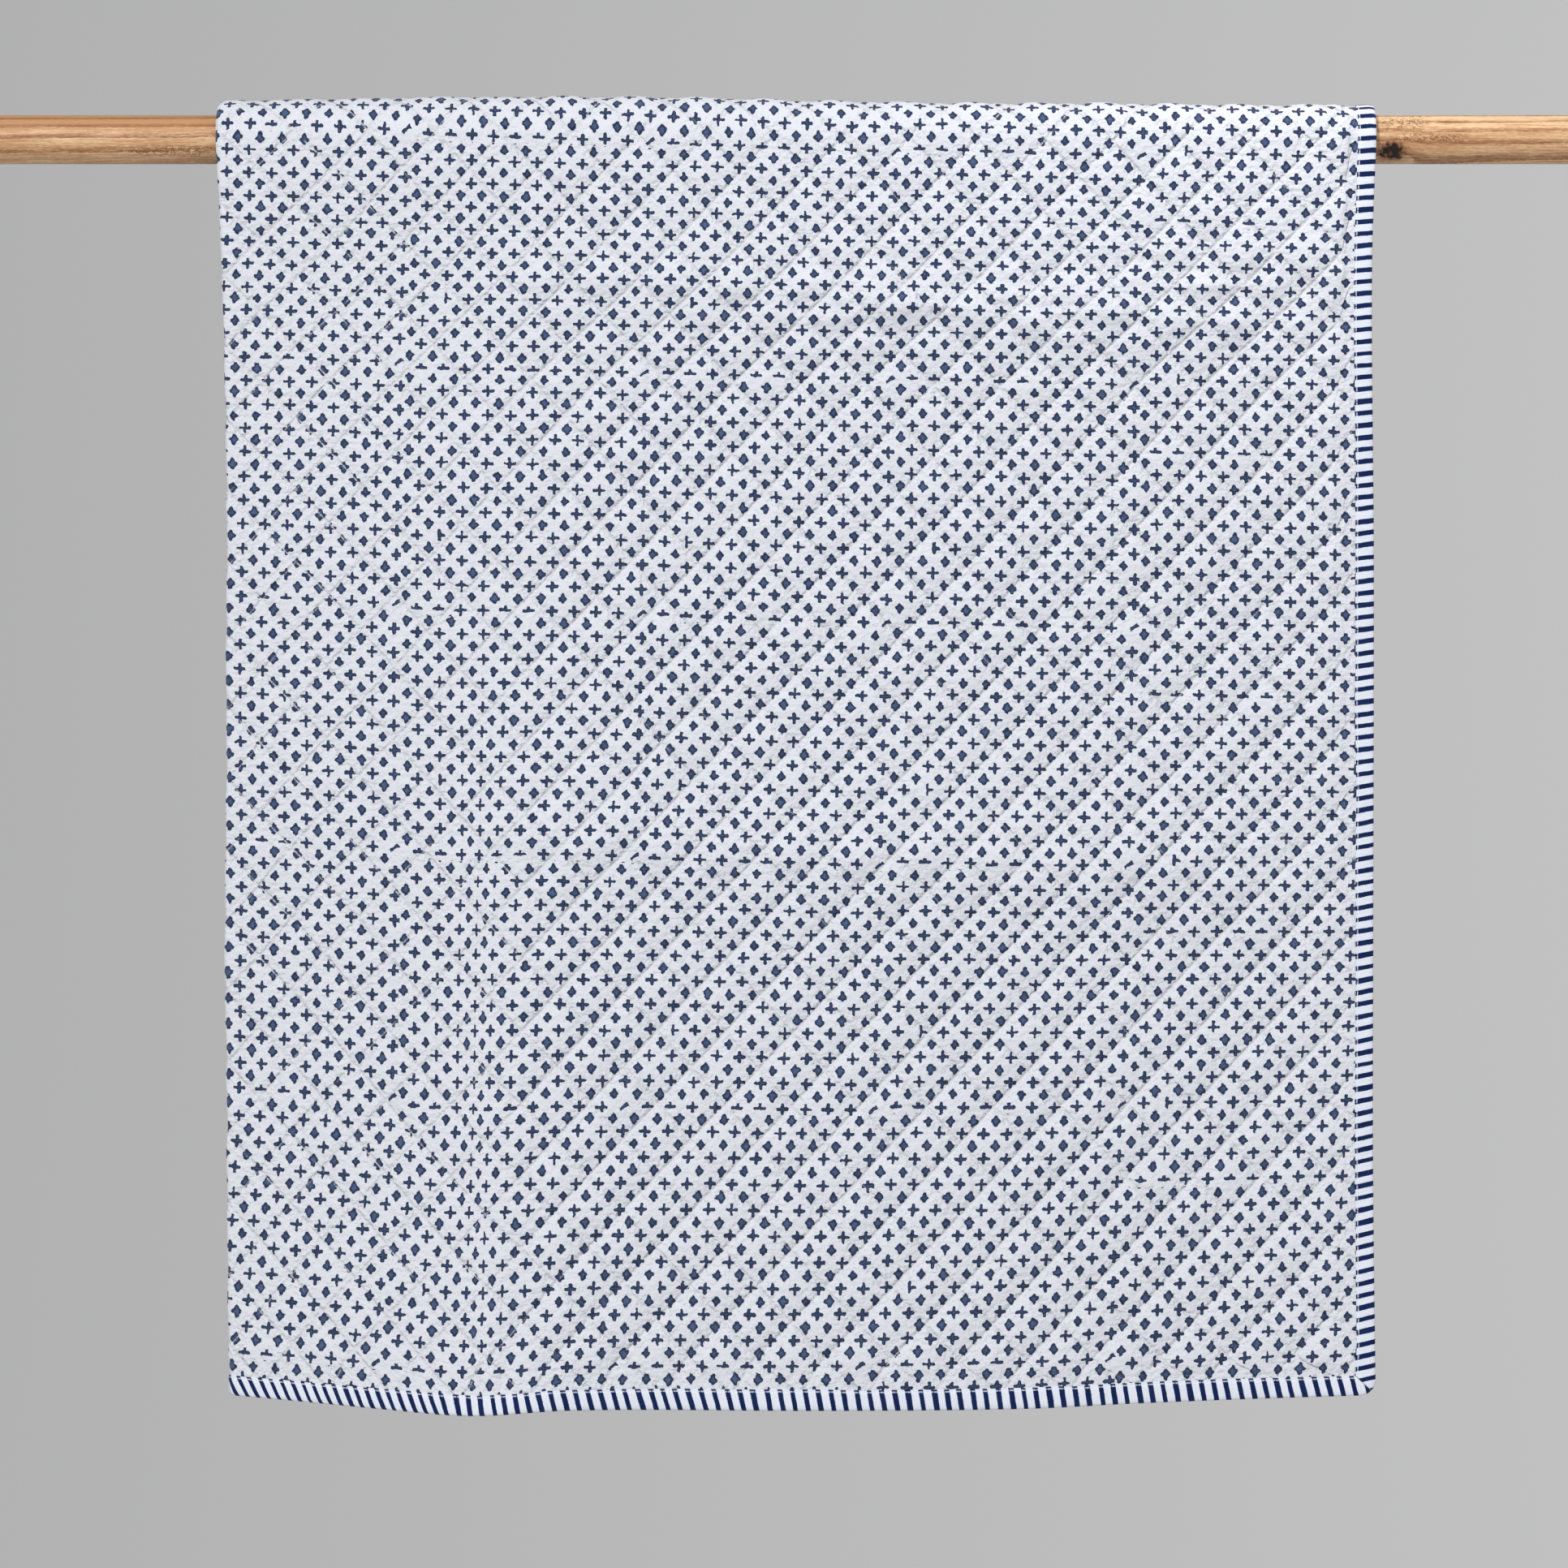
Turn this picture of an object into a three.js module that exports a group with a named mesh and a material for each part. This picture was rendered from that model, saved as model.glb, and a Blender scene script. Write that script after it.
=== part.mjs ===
// A quilted cot blanket with a striped binding, folded in half and hung over a round wooden rod.
// Millimetres, +Z up. The origin is the middle of the rod's axis and X runs along the rod.
// The long front drop hangs on the -Y side, the short back drop on the +Y side.
//
// The cloth is described flat, by two distances: across, from the bound edge of the outer half
// round the fold to the bound edge of the inner half, and along, from the front hem over the rod
// to the back hem. hang() turns a flat place into its place on the rod.
import * as THREE from "three";

// Rod
const ROD_DIAMETER = 25.4;
const ROD_LENGTH = 900;
const ROD_CHAMFER = 1;
const ROD_SIDES = 40;
const ROD_RADIUS = ROD_DIAMETER / 2;

// Cloth, flat
const OUTER_WIDTH = 598;
const FOLD_WIDTH = 8;
const INNER_WIDTH = 584;
const FLAT_WIDTH = OUTER_WIDTH + FOLD_WIDTH + INNER_WIDTH;
const FRONT_LENGTH = 660;
const ROD_WRAP = 55;
const BACK_LENGTH = 285;
const FLAT_LENGTH = FRONT_LENGTH + ROD_WRAP + BACK_LENGTH;
const BACK_START = FRONT_LENGTH + ROD_WRAP;
const CLOTH_THICKNESS = 1.2;
const HALF_THICKNESS = CLOTH_THICKNESS / 2;

// Quilting: stitch lines cross in a grid of diamonds, and the wadding puffs up between them
const DIAMOND_WIDTH = 34.6;
const DIAMOND_HEIGHT = 37;
const DIAMOND_ACROSS = 65;
const DIAMOND_ALONG = 652;
const PUFF_HEIGHT = 1.3;
const PUFF_ON_ROD = 0.5;
const PUFF_FADE = 12;

// Binding
const BINDING_WIDTH = 10.5;
const BINDING_WALL = 0.4;
const PIECE_GAP = 0.3;
const CORNER_RADIUS = 8;
const BINDING_LIFT = HALF_THICKNESS + PIECE_GAP + BINDING_WALL;
const PANEL_INSET = BINDING_WALL + PIECE_GAP;
const SEAM_INSET = BINDING_WIDTH + 1;

// How the halves lie on each other
const REST_GAP = 0.4;
const HANG_GAP = 2.6;
const FOLD_GAP = 3.6;
const FOLD_SPREAD = 30;
const LOOSEN_LENGTH = 70;
const FOLD_REACH = 3.2;
const INNER_INSET = 14;
const INNER_RISE = 7;
const BOUND_SPREAD = 22;

// Space between the two halves on the rod
const ROD_GAPS = [
  { x: -300, gap: 2.6 },
  { x: -133, gap: 4.2 },
  { x: 14, gap: 3.1 },
  { x: 141, gap: 0.9 },
  { x: 300, gap: 0.9 },
];

// Folded edge and bound edge, by the length below the rod
const SIDE_EDGES = [
  { down: 0, left: -301.5, right: 301.5 },
  { down: 70, left: -298.7, right: 298.8 },
  { down: 225, left: -296.7, right: 299.5 },
  { down: 435, left: -300, right: 298.2 },
  { down: 540, left: -298.4, right: 297.9 },
  { down: 660, left: -297, right: 300.4 },
];

// How far each hem hangs below the rod's axis
const FRONT_HEM = [
  { x: -296, drop: 658 },
  { x: -212, drop: 662 },
  { x: -168, drop: 664 },
  { x: -118, drop: 660.5 },
  { x: 8, drop: 660 },
  { x: 177, drop: 657 },
  { x: 300, drop: 655 },
];
const BACK_HEM = [
  { x: -300, drop: 283 },
  { x: -150, drop: 288 },
  { x: 40, drop: 286 },
  { x: 180, drop: 290 },
  { x: 300, drop: 285 },
];

// The front's left panel turns away from a soft upright ridge, more towards the hem
const LEFT_TURN = [
  { down: 0, ridge: -139, angle: 0, forward: 0 },
  { down: 60, ridge: -139, angle: 1.5, forward: 0.5 },
  { down: 200, ridge: -139, angle: 5, forward: 2 },
  { down: 400, ridge: -141, angle: 11, forward: 4 },
  { down: 520, ridge: -147, angle: 15, forward: 5 },
  { down: 660, ridge: -163, angle: 19, forward: 6 },
];
const RIDGE_SOFTNESS = 9;
const RIDGE_SPREAD = 70;

// Soft upright waves: out is how far the cloth stands off at the hem
const FRONT_WAVES = [
  { x: 60, spread: 120, out: 3 },
  { x: 235, spread: 95, out: -3 },
];
const BACK_WAVES = [
  { x: -250, spread: 90, out: 9 },
  { x: -40, spread: 80, out: -2 },
  { x: 120, spread: 110, out: 6 },
];

// Packing creases across the front of the outer half, as low ridges
const CREASES = [
  { left: -118, right: 218, downLeft: 75, downRight: 92, spread: 14, out: 1.2 },
  { left: -143, right: 255, downLeft: 372, downRight: 383, spread: 14, out: 1.4 },
];
const CREASE_FADE = 30;

// Steps of the mesh
const ROD_STEPS = 10;
const FOLD_STEPS = 6;
const CORNER_STEPS = 2;
const BACKING_STEP = 72;
const INNER_QUILTED = 420;
const NUDGE = 0.5;

const { clamp, lerp, smoothstep } = THREE.MathUtils;

// A column of a table at a place between its rows, on a smooth curve through them
function readTable(table, key, column, at) {
  const last = table.length - 1;
  const place = clamp(at, table[0][key], table[last][key]);
  let i = 0;
  while (i < last - 1 && place > table[i + 1][key]) i += 1;
  const slope = (k) => {
    const before = table[Math.max(k - 1, 0)];
    const after = table[Math.min(k + 1, last)];
    return (after[column] - before[column]) / (after[key] - before[key]);
  };
  const span = table[i + 1][key] - table[i][key];
  const t = (place - table[i][key]) / span;
  const s = 1 - t;
  const rise = table[i + 1][column] - table[i][column];
  const bend = s * (slope(i) * span - rise) - t * (slope(i + 1) * span - rise);
  return lerp(table[i][column], table[i + 1][column], t) + s * t * bend;
}

// A bell of height one
function bell(distance, spread) {
  return Math.exp(-((distance / spread) ** 2));
}

// How far soft waves push the cloth off its plain drop
function waveHeight(waves, x, down) {
  const grown = smoothstep(down, 0, FRONT_LENGTH);
  return waves.reduce((sum, wave) => sum + wave.out * grown * bell(x - wave.x, wave.spread), 0);
}

// Depth of the front drop behind its plain hanging plane
function frontDepth(x, down) {
  const ridge = readTable(LEFT_TURN, "down", "ridge", down);
  const angle = readTable(LEFT_TURN, "down", "angle", down);
  const forward = readTable(LEFT_TURN, "down", "forward", down);
  const past = (ridge - x) / RIDGE_SOFTNESS;
  const turned = Math.tan(THREE.MathUtils.degToRad(angle)) * RIDGE_SOFTNESS * Math.log1p(Math.exp(past));
  return turned - forward * bell(x - ridge, RIDGE_SPREAD) - waveHeight(FRONT_WAVES, x, down);
}

// Depth of the back drop behind its plain hanging plane
function backDepth(x, down) {
  return waveHeight(BACK_WAVES, x, down * (FRONT_LENGTH / BACK_LENGTH));
}

// Height of the packing creases on the outer half
function creaseHeight(x, down) {
  return CREASES.reduce((sum, crease) => {
    const share = (x - crease.left) / (crease.right - crease.left);
    const centre = lerp(crease.downLeft, crease.downRight, share);
    const begun = smoothstep(x, crease.left - CREASE_FADE, crease.left + CREASE_FADE);
    const ended = smoothstep(x, crease.right - CREASE_FADE, crease.right + CREASE_FADE);
    return sum + crease.out * begun * (1 - ended) * bell(down - centre, crease.spread);
  }, 0);
}

// A flat place as the part of the drop it lies in
function splitAlong(along) {
  const front = along < FRONT_LENGTH;
  const turn = Math.PI * clamp((along - FRONT_LENGTH) / ROD_WRAP, 0, 1);
  const length = front ? FRONT_LENGTH - along : Math.max(0, along - BACK_START);
  return { front, turn, length };
}

// A place on the surface that the folded cloth follows: the top of the rod and the drops below it
function basePoint(x, along, rise) {
  const { front, turn, length } = splitAlong(along);
  const hem = front ? FRONT_HEM : BACK_HEM;
  const whole = front ? FRONT_LENGTH : BACK_LENGTH;
  const down = (readTable(hem, "x", "drop", x) - rise) * (length / whole);
  const depth = front ? frontDepth(x, length) : backDepth(x, length);
  return new THREE.Vector3(x, depth - ROD_RADIUS * Math.cos(turn), ROD_RADIUS * Math.sin(turn) - down);
}

// Which half a flat place is in: share goes from the fold, 0, to the bound edge, 1
function splitAcross(across) {
  const outer = across < OUTER_WIDTH + FOLD_WIDTH / 2;
  const pastFold = across - OUTER_WIDTH - FOLD_WIDTH;
  const share = outer ? 1 - across / OUTER_WIDTH : pastFold / INNER_WIDTH;
  const turn = Math.PI * clamp((across - OUTER_WIDTH) / FOLD_WIDTH, 0, 1);
  return { outer, share: Math.max(share, 0), turn };
}

// Space between the two halves, wider at the fold and below the rod
function layerGap(x, left, length) {
  const onRod = readTable(ROD_GAPS, "x", "gap", x);
  const loose = smoothstep(length, 0, LOOSEN_LENGTH);
  const hanging = lerp(HANG_GAP, FOLD_GAP, bell(x - left, FOLD_SPREAD));
  return lerp(onRod, hanging, loose);
}

// The draped place of a flat one, lifted off the middle of the cloth towards its printed side
function hang(across, along, lift) {
  const { outer, share, turn } = splitAcross(across);
  const { front, length } = splitAlong(along);
  const left = readTable(SIDE_EDGES, "down", "left", length) + FOLD_REACH;
  const right = readTable(SIDE_EDGES, "down", "right", length) - (outer ? 0 : INNER_INSET);
  const x = lerp(left, right, share);
  const rise = outer ? 0 : INNER_RISE * share;

  const place = basePoint(x, along, rise);
  const toRight = basePoint(x + NUDGE, along, rise).sub(basePoint(x - NUDGE, along, rise)).normalize();
  const onwards = basePoint(x, along + NUDGE, rise).sub(basePoint(x, along - NUDGE, rise));
  const outwards = toRight.clone().cross(onwards).normalize();

  const innerEdge = right - (outer ? INNER_INSET : 0);
  const boundLift = (BINDING_LIFT - HALF_THICKNESS) * bell(Math.min(x - innerEdge, 0), BOUND_SPREAD);
  const innerOffset = REST_GAP + HALF_THICKNESS + boundLift;
  const apart = CLOTH_THICKNESS + layerGap(x, left, length);
  const crease = front ? creaseHeight(x, length) * (1 + Math.cos(turn)) / 2 : 0;
  const reach = apart / 2 + lift;
  return place
    .addScaledVector(toRight, -reach * Math.sin(turn))
    .addScaledVector(outwards, innerOffset + apart / 2 + reach * Math.cos(turn) + crease);
}

// How high the wadding stands at a flat place: nothing on the stitch lines and under the binding
function puffHeight(across, along) {
  const a = (across - DIAMOND_ACROSS) / DIAMOND_WIDTH;
  const b = (along - DIAMOND_ALONG) / DIAMOND_HEIGHT;
  const fromLine = (place) => 2 * Math.abs(place - Math.round(place));
  const fromEdge = Math.min(across, FLAT_WIDTH - across, along, FLAT_LENGTH - along);
  const { front, turn, length } = splitAlong(along);
  const resting = (turn > 0 && turn < Math.PI) || length === 0;
  const inside = across > OUTER_WIDTH;
  const loose = smoothstep(length, 0, LOOSEN_LENGTH);
  const pressed = resting ? 0 : loose;
  const kept = inside ? pressed : lerp(PUFF_ON_ROD, 1, front ? loose : pressed);
  const edgeFade = smoothstep(fromEdge, SEAM_INSET, SEAM_INSET + PUFF_FADE);
  return PUFF_HEIGHT * kept * edgeFade * Math.sqrt(fromLine(a + b) * fromLine(a - b));
}

// Points and triangles of one closed body
class Shell {
  points = [];
  faces = [];

  add(position, run, lift) {
    this.points.push(position);
    return { index: this.points.length - 1, run, lift };
  }

  // Triangles between two rows of points that run the same way, along the lower diagonals
  strip(a, b) {
    let i = 0;
    let j = 0;
    while (i < a.length - 1 || j < b.length - 1) {
      const nextA = i < a.length - 1 ? a[i + 1].run : Infinity;
      const nextB = j < b.length - 1 ? b[j + 1].run : Infinity;
      const level = Math.abs(nextA - nextB) < NUDGE / 10;
      const lower = level && a[i + 1].lift + b[j].lift <= a[i].lift + b[j + 1].lift;
      if (lower || (!level && nextA < nextB)) {
        this.faces.push([a[i].index, a[i + 1].index, b[j].index]);
        i += 1;
      } else {
        this.faces.push([a[i].index, b[j + 1].index, b[j].index]);
        j += 1;
      }
    }
  }

  // Six times the enclosed volume, negative where the faces point inwards
  volume() {
    const corner = new THREE.Vector3();
    return this.faces.reduce((sum, [a, b, c]) => {
      corner.crossVectors(this.points[b], this.points[c]);
      return sum + corner.dot(this.points[a]);
    }, 0);
  }

  geometry() {
    const geometry = new THREE.BufferGeometry().setFromPoints(this.points);
    const faces = this.volume() > 0 ? this.faces : this.faces.map(([a, b, c]) => [c, b, a]);
    geometry.setIndex(faces.flat());
    geometry.computeVertexNormals();
    return geometry;
  }
}

// Numbers from one end to the other in even steps no longer than asked
function evenSteps(from, to, step) {
  const count = Math.max(1, Math.ceil((to - from) / step));
  return Array.from({ length: count + 1 }, (_, i) => lerp(from, to, i / count));
}

// Places of the stitch crossings and puff tops between two limits
function quiltSteps(from, to, start, step) {
  const first = Math.ceil((from - start) / step);
  const last = Math.floor((to - start) / step);
  return Array.from({ length: last - first + 1 }, (_, i) => start + (first + i) * step);
}

// Rows along the cloth
const HALF_HEIGHT = DIAMOND_HEIGHT / 2;
const ROW_CLEAR = 5;
const ROD_ROWS = evenSteps(FRONT_LENGTH, BACK_START, ROD_WRAP / ROD_STEPS);
const HEM_ROWS = [PANEL_INSET, SEAM_INSET];
const TAIL_ROWS = [FLAT_LENGTH - SEAM_INSET, FLAT_LENGTH - PANEL_INSET];
const quiltRows = (from, to) => quiltSteps(from + ROW_CLEAR, to - ROW_CLEAR, DIAMOND_ALONG, HALF_HEIGHT);
const OUTER_ROWS = [
  ...HEM_ROWS,
  ...quiltRows(SEAM_INSET, FRONT_LENGTH),
  ...ROD_ROWS,
  ...quiltRows(BACK_START, FLAT_LENGTH - SEAM_INSET),
  ...TAIL_ROWS,
];
const BACK_ROWS = evenSteps(BACK_START, FLAT_LENGTH - SEAM_INSET, BACKING_STEP).slice(1, -1);
const INNER_ROWS = [
  ...HEM_ROWS,
  ...quiltRows(SEAM_INSET, INNER_QUILTED),
  ...evenSteps(INNER_QUILTED, FRONT_LENGTH, BACKING_STEP).slice(0, -1),
  ...ROD_ROWS,
  ...BACK_ROWS,
  ...TAIL_ROWS,
];
const BACKING_ROWS = [
  ...HEM_ROWS,
  ...evenSteps(SEAM_INSET, FRONT_LENGTH, BACKING_STEP).slice(1, -1),
  ...ROD_ROWS,
  ...BACK_ROWS,
  ...TAIL_ROWS,
];

// Columns across the cloth
const HALF_WIDTH = DIAMOND_WIDTH / 2;
const FOLD_END = OUTER_WIDTH + FOLD_WIDTH;
const quiltColumns = (from, to) => quiltSteps(from + ROW_CLEAR, to - ROW_CLEAR, DIAMOND_ACROSS, HALF_WIDTH);
const FOLD_COLUMNS = evenSteps(OUTER_WIDTH, FOLD_END, FOLD_WIDTH / FOLD_STEPS);
const OUTER_COLUMNS = quiltColumns(SEAM_INSET, OUTER_WIDTH);
const INNER_COLUMNS = quiltColumns(FOLD_END, FLAT_WIDTH - SEAM_INSET);
const PRINT_COLUMNS = [
  PANEL_INSET,
  SEAM_INSET,
  ...OUTER_COLUMNS,
  ...FOLD_COLUMNS,
  ...INNER_COLUMNS,
  FLAT_WIDTH - SEAM_INSET,
  FLAT_WIDTH - PANEL_INSET,
];

// Away from the ridge the backing needs only every other column
const RIDGE_FROM = 380;
const RIDGE_TO = FLAT_WIDTH - RIDGE_FROM;
const everyOther = (columns) => columns.filter((c, i) => i % 2 === 1 || (c > RIDGE_FROM && c < RIDGE_TO));
const BACKING_COLUMNS = [
  PANEL_INSET,
  SEAM_INSET,
  ...everyOther(OUTER_COLUMNS),
  ...FOLD_COLUMNS,
  ...everyOther(INNER_COLUMNS),
  FLAT_WIDTH - SEAM_INSET,
  FLAT_WIDTH - PANEL_INSET,
];

// The panel's four corners are trimmed so that they lie inside the rounded binding
const CORNER_TRIM = CORNER_RADIUS * (1 - Math.SQRT1_2) + 2 * PANEL_INSET;

function trimCorner(across, along) {
  const fromSide = Math.min(across, FLAT_WIDTH - across);
  const fromHem = Math.min(along, FLAT_LENGTH - along);
  const corner = Math.max(fromSide, fromHem) < PANEL_INSET + NUDGE;
  return corner
    ? [clamp(across, CORNER_TRIM, FLAT_WIDTH - CORNER_TRIM), clamp(along, CORNER_TRIM, FLAT_LENGTH - CORNER_TRIM)]
    : [across, along];
}

function makePanel() {
  const shell = new Shell();
  const column = (across, rows, side) =>
    rows.map((along) => {
      const puff = side > 0 ? puffHeight(across, along) : 0;
      const place = hang(...trimCorner(across, along), side * HALF_THICKNESS + puff);
      return shell.add(place, along, puff);
    });
  const rowsOf = (across) => (across <= OUTER_WIDTH ? OUTER_ROWS : INNER_ROWS);
  const printed = PRINT_COLUMNS.map((across) => column(across, rowsOf(across), 1));
  const backing = BACKING_COLUMNS.map((across) => column(across, BACKING_ROWS, -1));
  printed.slice(1).forEach((next, i) => shell.strip(printed[i], next));
  backing.slice(1).forEach((next, i) => shell.strip(next, backing[i]));
  shell.strip(backing[0], printed[0]);
  shell.strip(printed.at(-1), backing.at(-1));

  const hemRow = (columns, places, end) =>
    columns.map((points, i) => ({ ...points.at(end), run: places[i], lift: 0 }));
  shell.strip(hemRow(printed, PRINT_COLUMNS, 0), hemRow(backing, BACKING_COLUMNS, 0));
  shell.strip(hemRow(backing, BACKING_COLUMNS, -1), hemRow(printed, PRINT_COLUMNS, -1));
  return shell.geometry();
}

// Stations of a binding run, each from the cloth's outline to the binding's inner edge.
// A place is the distance run along the edge and the distance in from it.
function bindingStations(length, stops) {
  const corner = Array.from({ length: CORNER_STEPS + 1 }, (_, i) => {
    const share = i / CORNER_STEPS;
    const angle = (Math.PI / 4) * (1 + share);
    const run = CORNER_RADIUS * (1 - Math.cos(angle)) + PIECE_GAP;
    const inset = CORNER_RADIUS * (1 - Math.sin(angle));
    return { edge: [run, inset], lip: [BINDING_WIDTH + PIECE_GAP + share * HALF_THICKNESS, BINDING_WIDTH] };
  });
  const clear = BINDING_WIDTH + CORNER_RADIUS / 2;
  const plain = stops
    .filter((stop) => stop > clear && stop < length - clear)
    .map((stop) => ({ edge: [stop, 0], lip: [stop, BINDING_WIDTH] }));
  const flip = ([run, inset]) => [length - run, inset];
  const far = corner.map(({ edge, lip }) => ({ edge: flip(edge), lip: flip(lip) })).reverse();
  return [...corner, ...plain, ...far];
}

// The folded-over section: share from the outline, 0, to the inner edge, 1, and lift off the cloth
const INNER_LIFT = BINDING_LIFT - BINDING_WALL;
const WALL_SHARE = BINDING_WALL / BINDING_WIDTH;
const BINDING_SECTION = [
  { share: 1, lift: BINDING_LIFT },
  { share: 0, lift: BINDING_LIFT },
  { share: 0, lift: -BINDING_LIFT },
  { share: 1, lift: -BINDING_LIFT },
  { share: 1, lift: -INNER_LIFT },
  { share: WALL_SHARE, lift: -INNER_LIFT },
  { share: WALL_SHARE, lift: INNER_LIFT },
  { share: 1, lift: INNER_LIFT },
];

function makeBinding(length, stops, flatPlace) {
  const shell = new Shell();
  const stations = bindingStations(length, stops);
  const lines = BINDING_SECTION.map(({ share, lift }) =>
    stations.map(({ edge, lip }, run) => {
      const place = flatPlace(lerp(edge[0], lip[0], share), lerp(edge[1], lip[1], share));
      return shell.add(hang(...place, lift), run, 0);
    }),
  );
  lines.forEach((line, i) => shell.strip(lines[(i + 1) % lines.length], line));

  const outline = BINDING_SECTION.map(({ share, lift }) => new THREE.Vector2(share, lift));
  THREE.ShapeUtils.triangulateShape(outline, []).forEach(([a, b, c]) => {
    shell.faces.push([lines[c][0].index, lines[b][0].index, lines[a][0].index]);
    shell.faces.push([lines[a].at(-1).index, lines[b].at(-1).index, lines[c].at(-1).index]);
  });
  return shell.geometry();
}

function makeRod() {
  const half = ROD_LENGTH / 2;
  const profile = [
    new THREE.Vector2(0, -half),
    new THREE.Vector2(ROD_RADIUS - ROD_CHAMFER, -half),
    new THREE.Vector2(ROD_RADIUS, -half + ROD_CHAMFER),
    new THREE.Vector2(ROD_RADIUS, half - ROD_CHAMFER),
    new THREE.Vector2(ROD_RADIUS - ROD_CHAMFER, half),
    new THREE.Vector2(0, half),
  ];
  return new THREE.LatheGeometry(profile, ROD_SIDES);
}

const COTTON = new THREE.MeshStandardMaterial({ color: 0xe1e4ec, roughness: 0.9, metalness: 0 });
const STRIPED_COTTON = new THREE.MeshStandardMaterial({ color: 0xa9b2cf, roughness: 0.9, metalness: 0 });
const PINE = new THREE.MeshStandardMaterial({ color: 0xd0a76c, roughness: 0.65, metalness: 0 });

const blanket = new THREE.Group();

function addPiece(name, geometry, material) {
  const mesh = new THREE.Mesh(geometry, material);
  mesh.name = name;
  blanket.add(mesh);
  return mesh;
}

addPiece("rod", makeRod(), PINE).rotation.z = Math.PI / 2;
addPiece("quilt_panel", makePanel(), COTTON);

const BINDING_RUNS = [
  {
    name: "binding_front_hem",
    length: FLAT_WIDTH,
    stops: PRINT_COLUMNS,
    flatPlace: (run, inset) => [run, inset],
  },
  {
    name: "binding_back_hem",
    length: FLAT_WIDTH,
    stops: PRINT_COLUMNS,
    flatPlace: (run, inset) => [run, FLAT_LENGTH - inset],
  },
  {
    name: "binding_outer_side",
    length: FLAT_LENGTH,
    stops: OUTER_ROWS,
    flatPlace: (run, inset) => [inset, run],
  },
  {
    name: "binding_inner_side",
    length: FLAT_LENGTH,
    stops: INNER_ROWS,
    flatPlace: (run, inset) => [FLAT_WIDTH - inset, run],
  },
];
BINDING_RUNS.forEach(({ name, length, stops, flatPlace }) =>
  addPiece(name, makeBinding(length, stops, flatPlace), STRIPED_COTTON),
);

export default blanket;
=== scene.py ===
# A quilted cot blanket with a striped binding, folded in half and hung over a pine rod.
# Sizes are in millimetres and become metres when a mesh is made. +Z is up.
# The cloth is described flat, by two distances: across, from the bound edge of the outer half
# round the fold to the bound edge of the inner half, and along, from the front hem over the rod
# to the back hem. hang() turns a flat place into its place on the rod.
import math
from functools import partialmethod

import bpy
import numpy as np
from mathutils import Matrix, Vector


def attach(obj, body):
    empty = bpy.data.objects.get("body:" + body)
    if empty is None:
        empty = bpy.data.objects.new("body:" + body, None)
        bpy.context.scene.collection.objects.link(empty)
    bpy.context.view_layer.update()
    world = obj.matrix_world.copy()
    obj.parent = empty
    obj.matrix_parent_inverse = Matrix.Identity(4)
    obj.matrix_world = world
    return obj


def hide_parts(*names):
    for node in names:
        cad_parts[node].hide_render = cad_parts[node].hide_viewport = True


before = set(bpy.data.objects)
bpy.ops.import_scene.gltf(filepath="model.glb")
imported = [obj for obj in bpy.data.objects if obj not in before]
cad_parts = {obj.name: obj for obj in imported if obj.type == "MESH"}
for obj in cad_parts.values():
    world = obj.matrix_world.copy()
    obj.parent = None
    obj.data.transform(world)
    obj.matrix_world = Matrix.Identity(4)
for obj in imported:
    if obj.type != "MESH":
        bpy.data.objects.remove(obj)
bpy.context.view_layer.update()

MM = 0.001
PER_METRE = 1000


# Rows of a table, each with the named columns
def table(names, *rows):
    return [dict(zip(names.split(), row)) for row in rows]


# Columns of a table of soft noises
NOISE = "wide long height seed"


# Rod
ROD_RADIUS = 12.7
ROD_LENGTH = 900.0
ROD_CHAMFER = 1.0
ROD_SIDES = 96
ROD_SLICES = 60

# Cloth, flat
OUTER_WIDTH = 598.0
FOLD_WIDTH = 8.0
INNER_WIDTH = 584.0
FOLD_END = OUTER_WIDTH + FOLD_WIDTH
FLAT_WIDTH = FOLD_END + INNER_WIDTH
FRONT_LENGTH = 660.0
ROD_WRAP = 55.0
BACK_LENGTH = 285.0
BACK_START = FRONT_LENGTH + ROD_WRAP
FLAT_LENGTH = BACK_START + BACK_LENGTH
CLOTH_THICKNESS = 1.2
HALF_THICKNESS = CLOTH_THICKNESS / 2

# Quilting: stitch lines cross in a grid of diamonds, and the wadding puffs up between them
DIAMOND_WIDTH = 35.05
DIAMOND_HEIGHT = 37.4
DIAMOND_ACROSS = 74.0
DIAMOND_ALONG = 662.3
PUFF_HEIGHT = 1.95
PUFF_ROUNDNESS = 0.8
PUFF_LEAN = 1.2
PUFF_ON_ROD = 0.75
PUFF_FADE = 12.0
PUFF_NOISE = table(NOISE, (50, 50, 0.22, 17))
THINNEST = 0.3
THINNEST_SOFTNESS = 0.12

# The puffs are flat beside the fold and full beyond the ridge
PUFF_LEFT = 0.34
LEFT_LEAN = 0.6
LEFT_CROSS = 0.15
LEFT_ENDS = (146, 166)

# How deep the stitch lines that run down to the right cut across the puffs, and where that changes
CROSS_TOP = 1.0
CROSS_BOTTOM = 0.4
CROSS_SPAN = (60, 480)

# How far the stitch lines lie from a straight grid: turned, lower beside the rod, and uneven
GRID_TURN_ACROSS = -0.0105
GRID_TURN_ALONG = 0.014
GRID_TOP_SHIFT = -3.6
GRID_TOP_SPAN = (520, 600)
GRID_FADE = 60.0
DRIFTS = [
    table(NOISE, (80, 80, 0.7, 21), (30, 30, 0.4, 23)),
    table(NOISE, (80, 80, 0.7, 22), (30, 30, 0.4, 24)),
]

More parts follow.
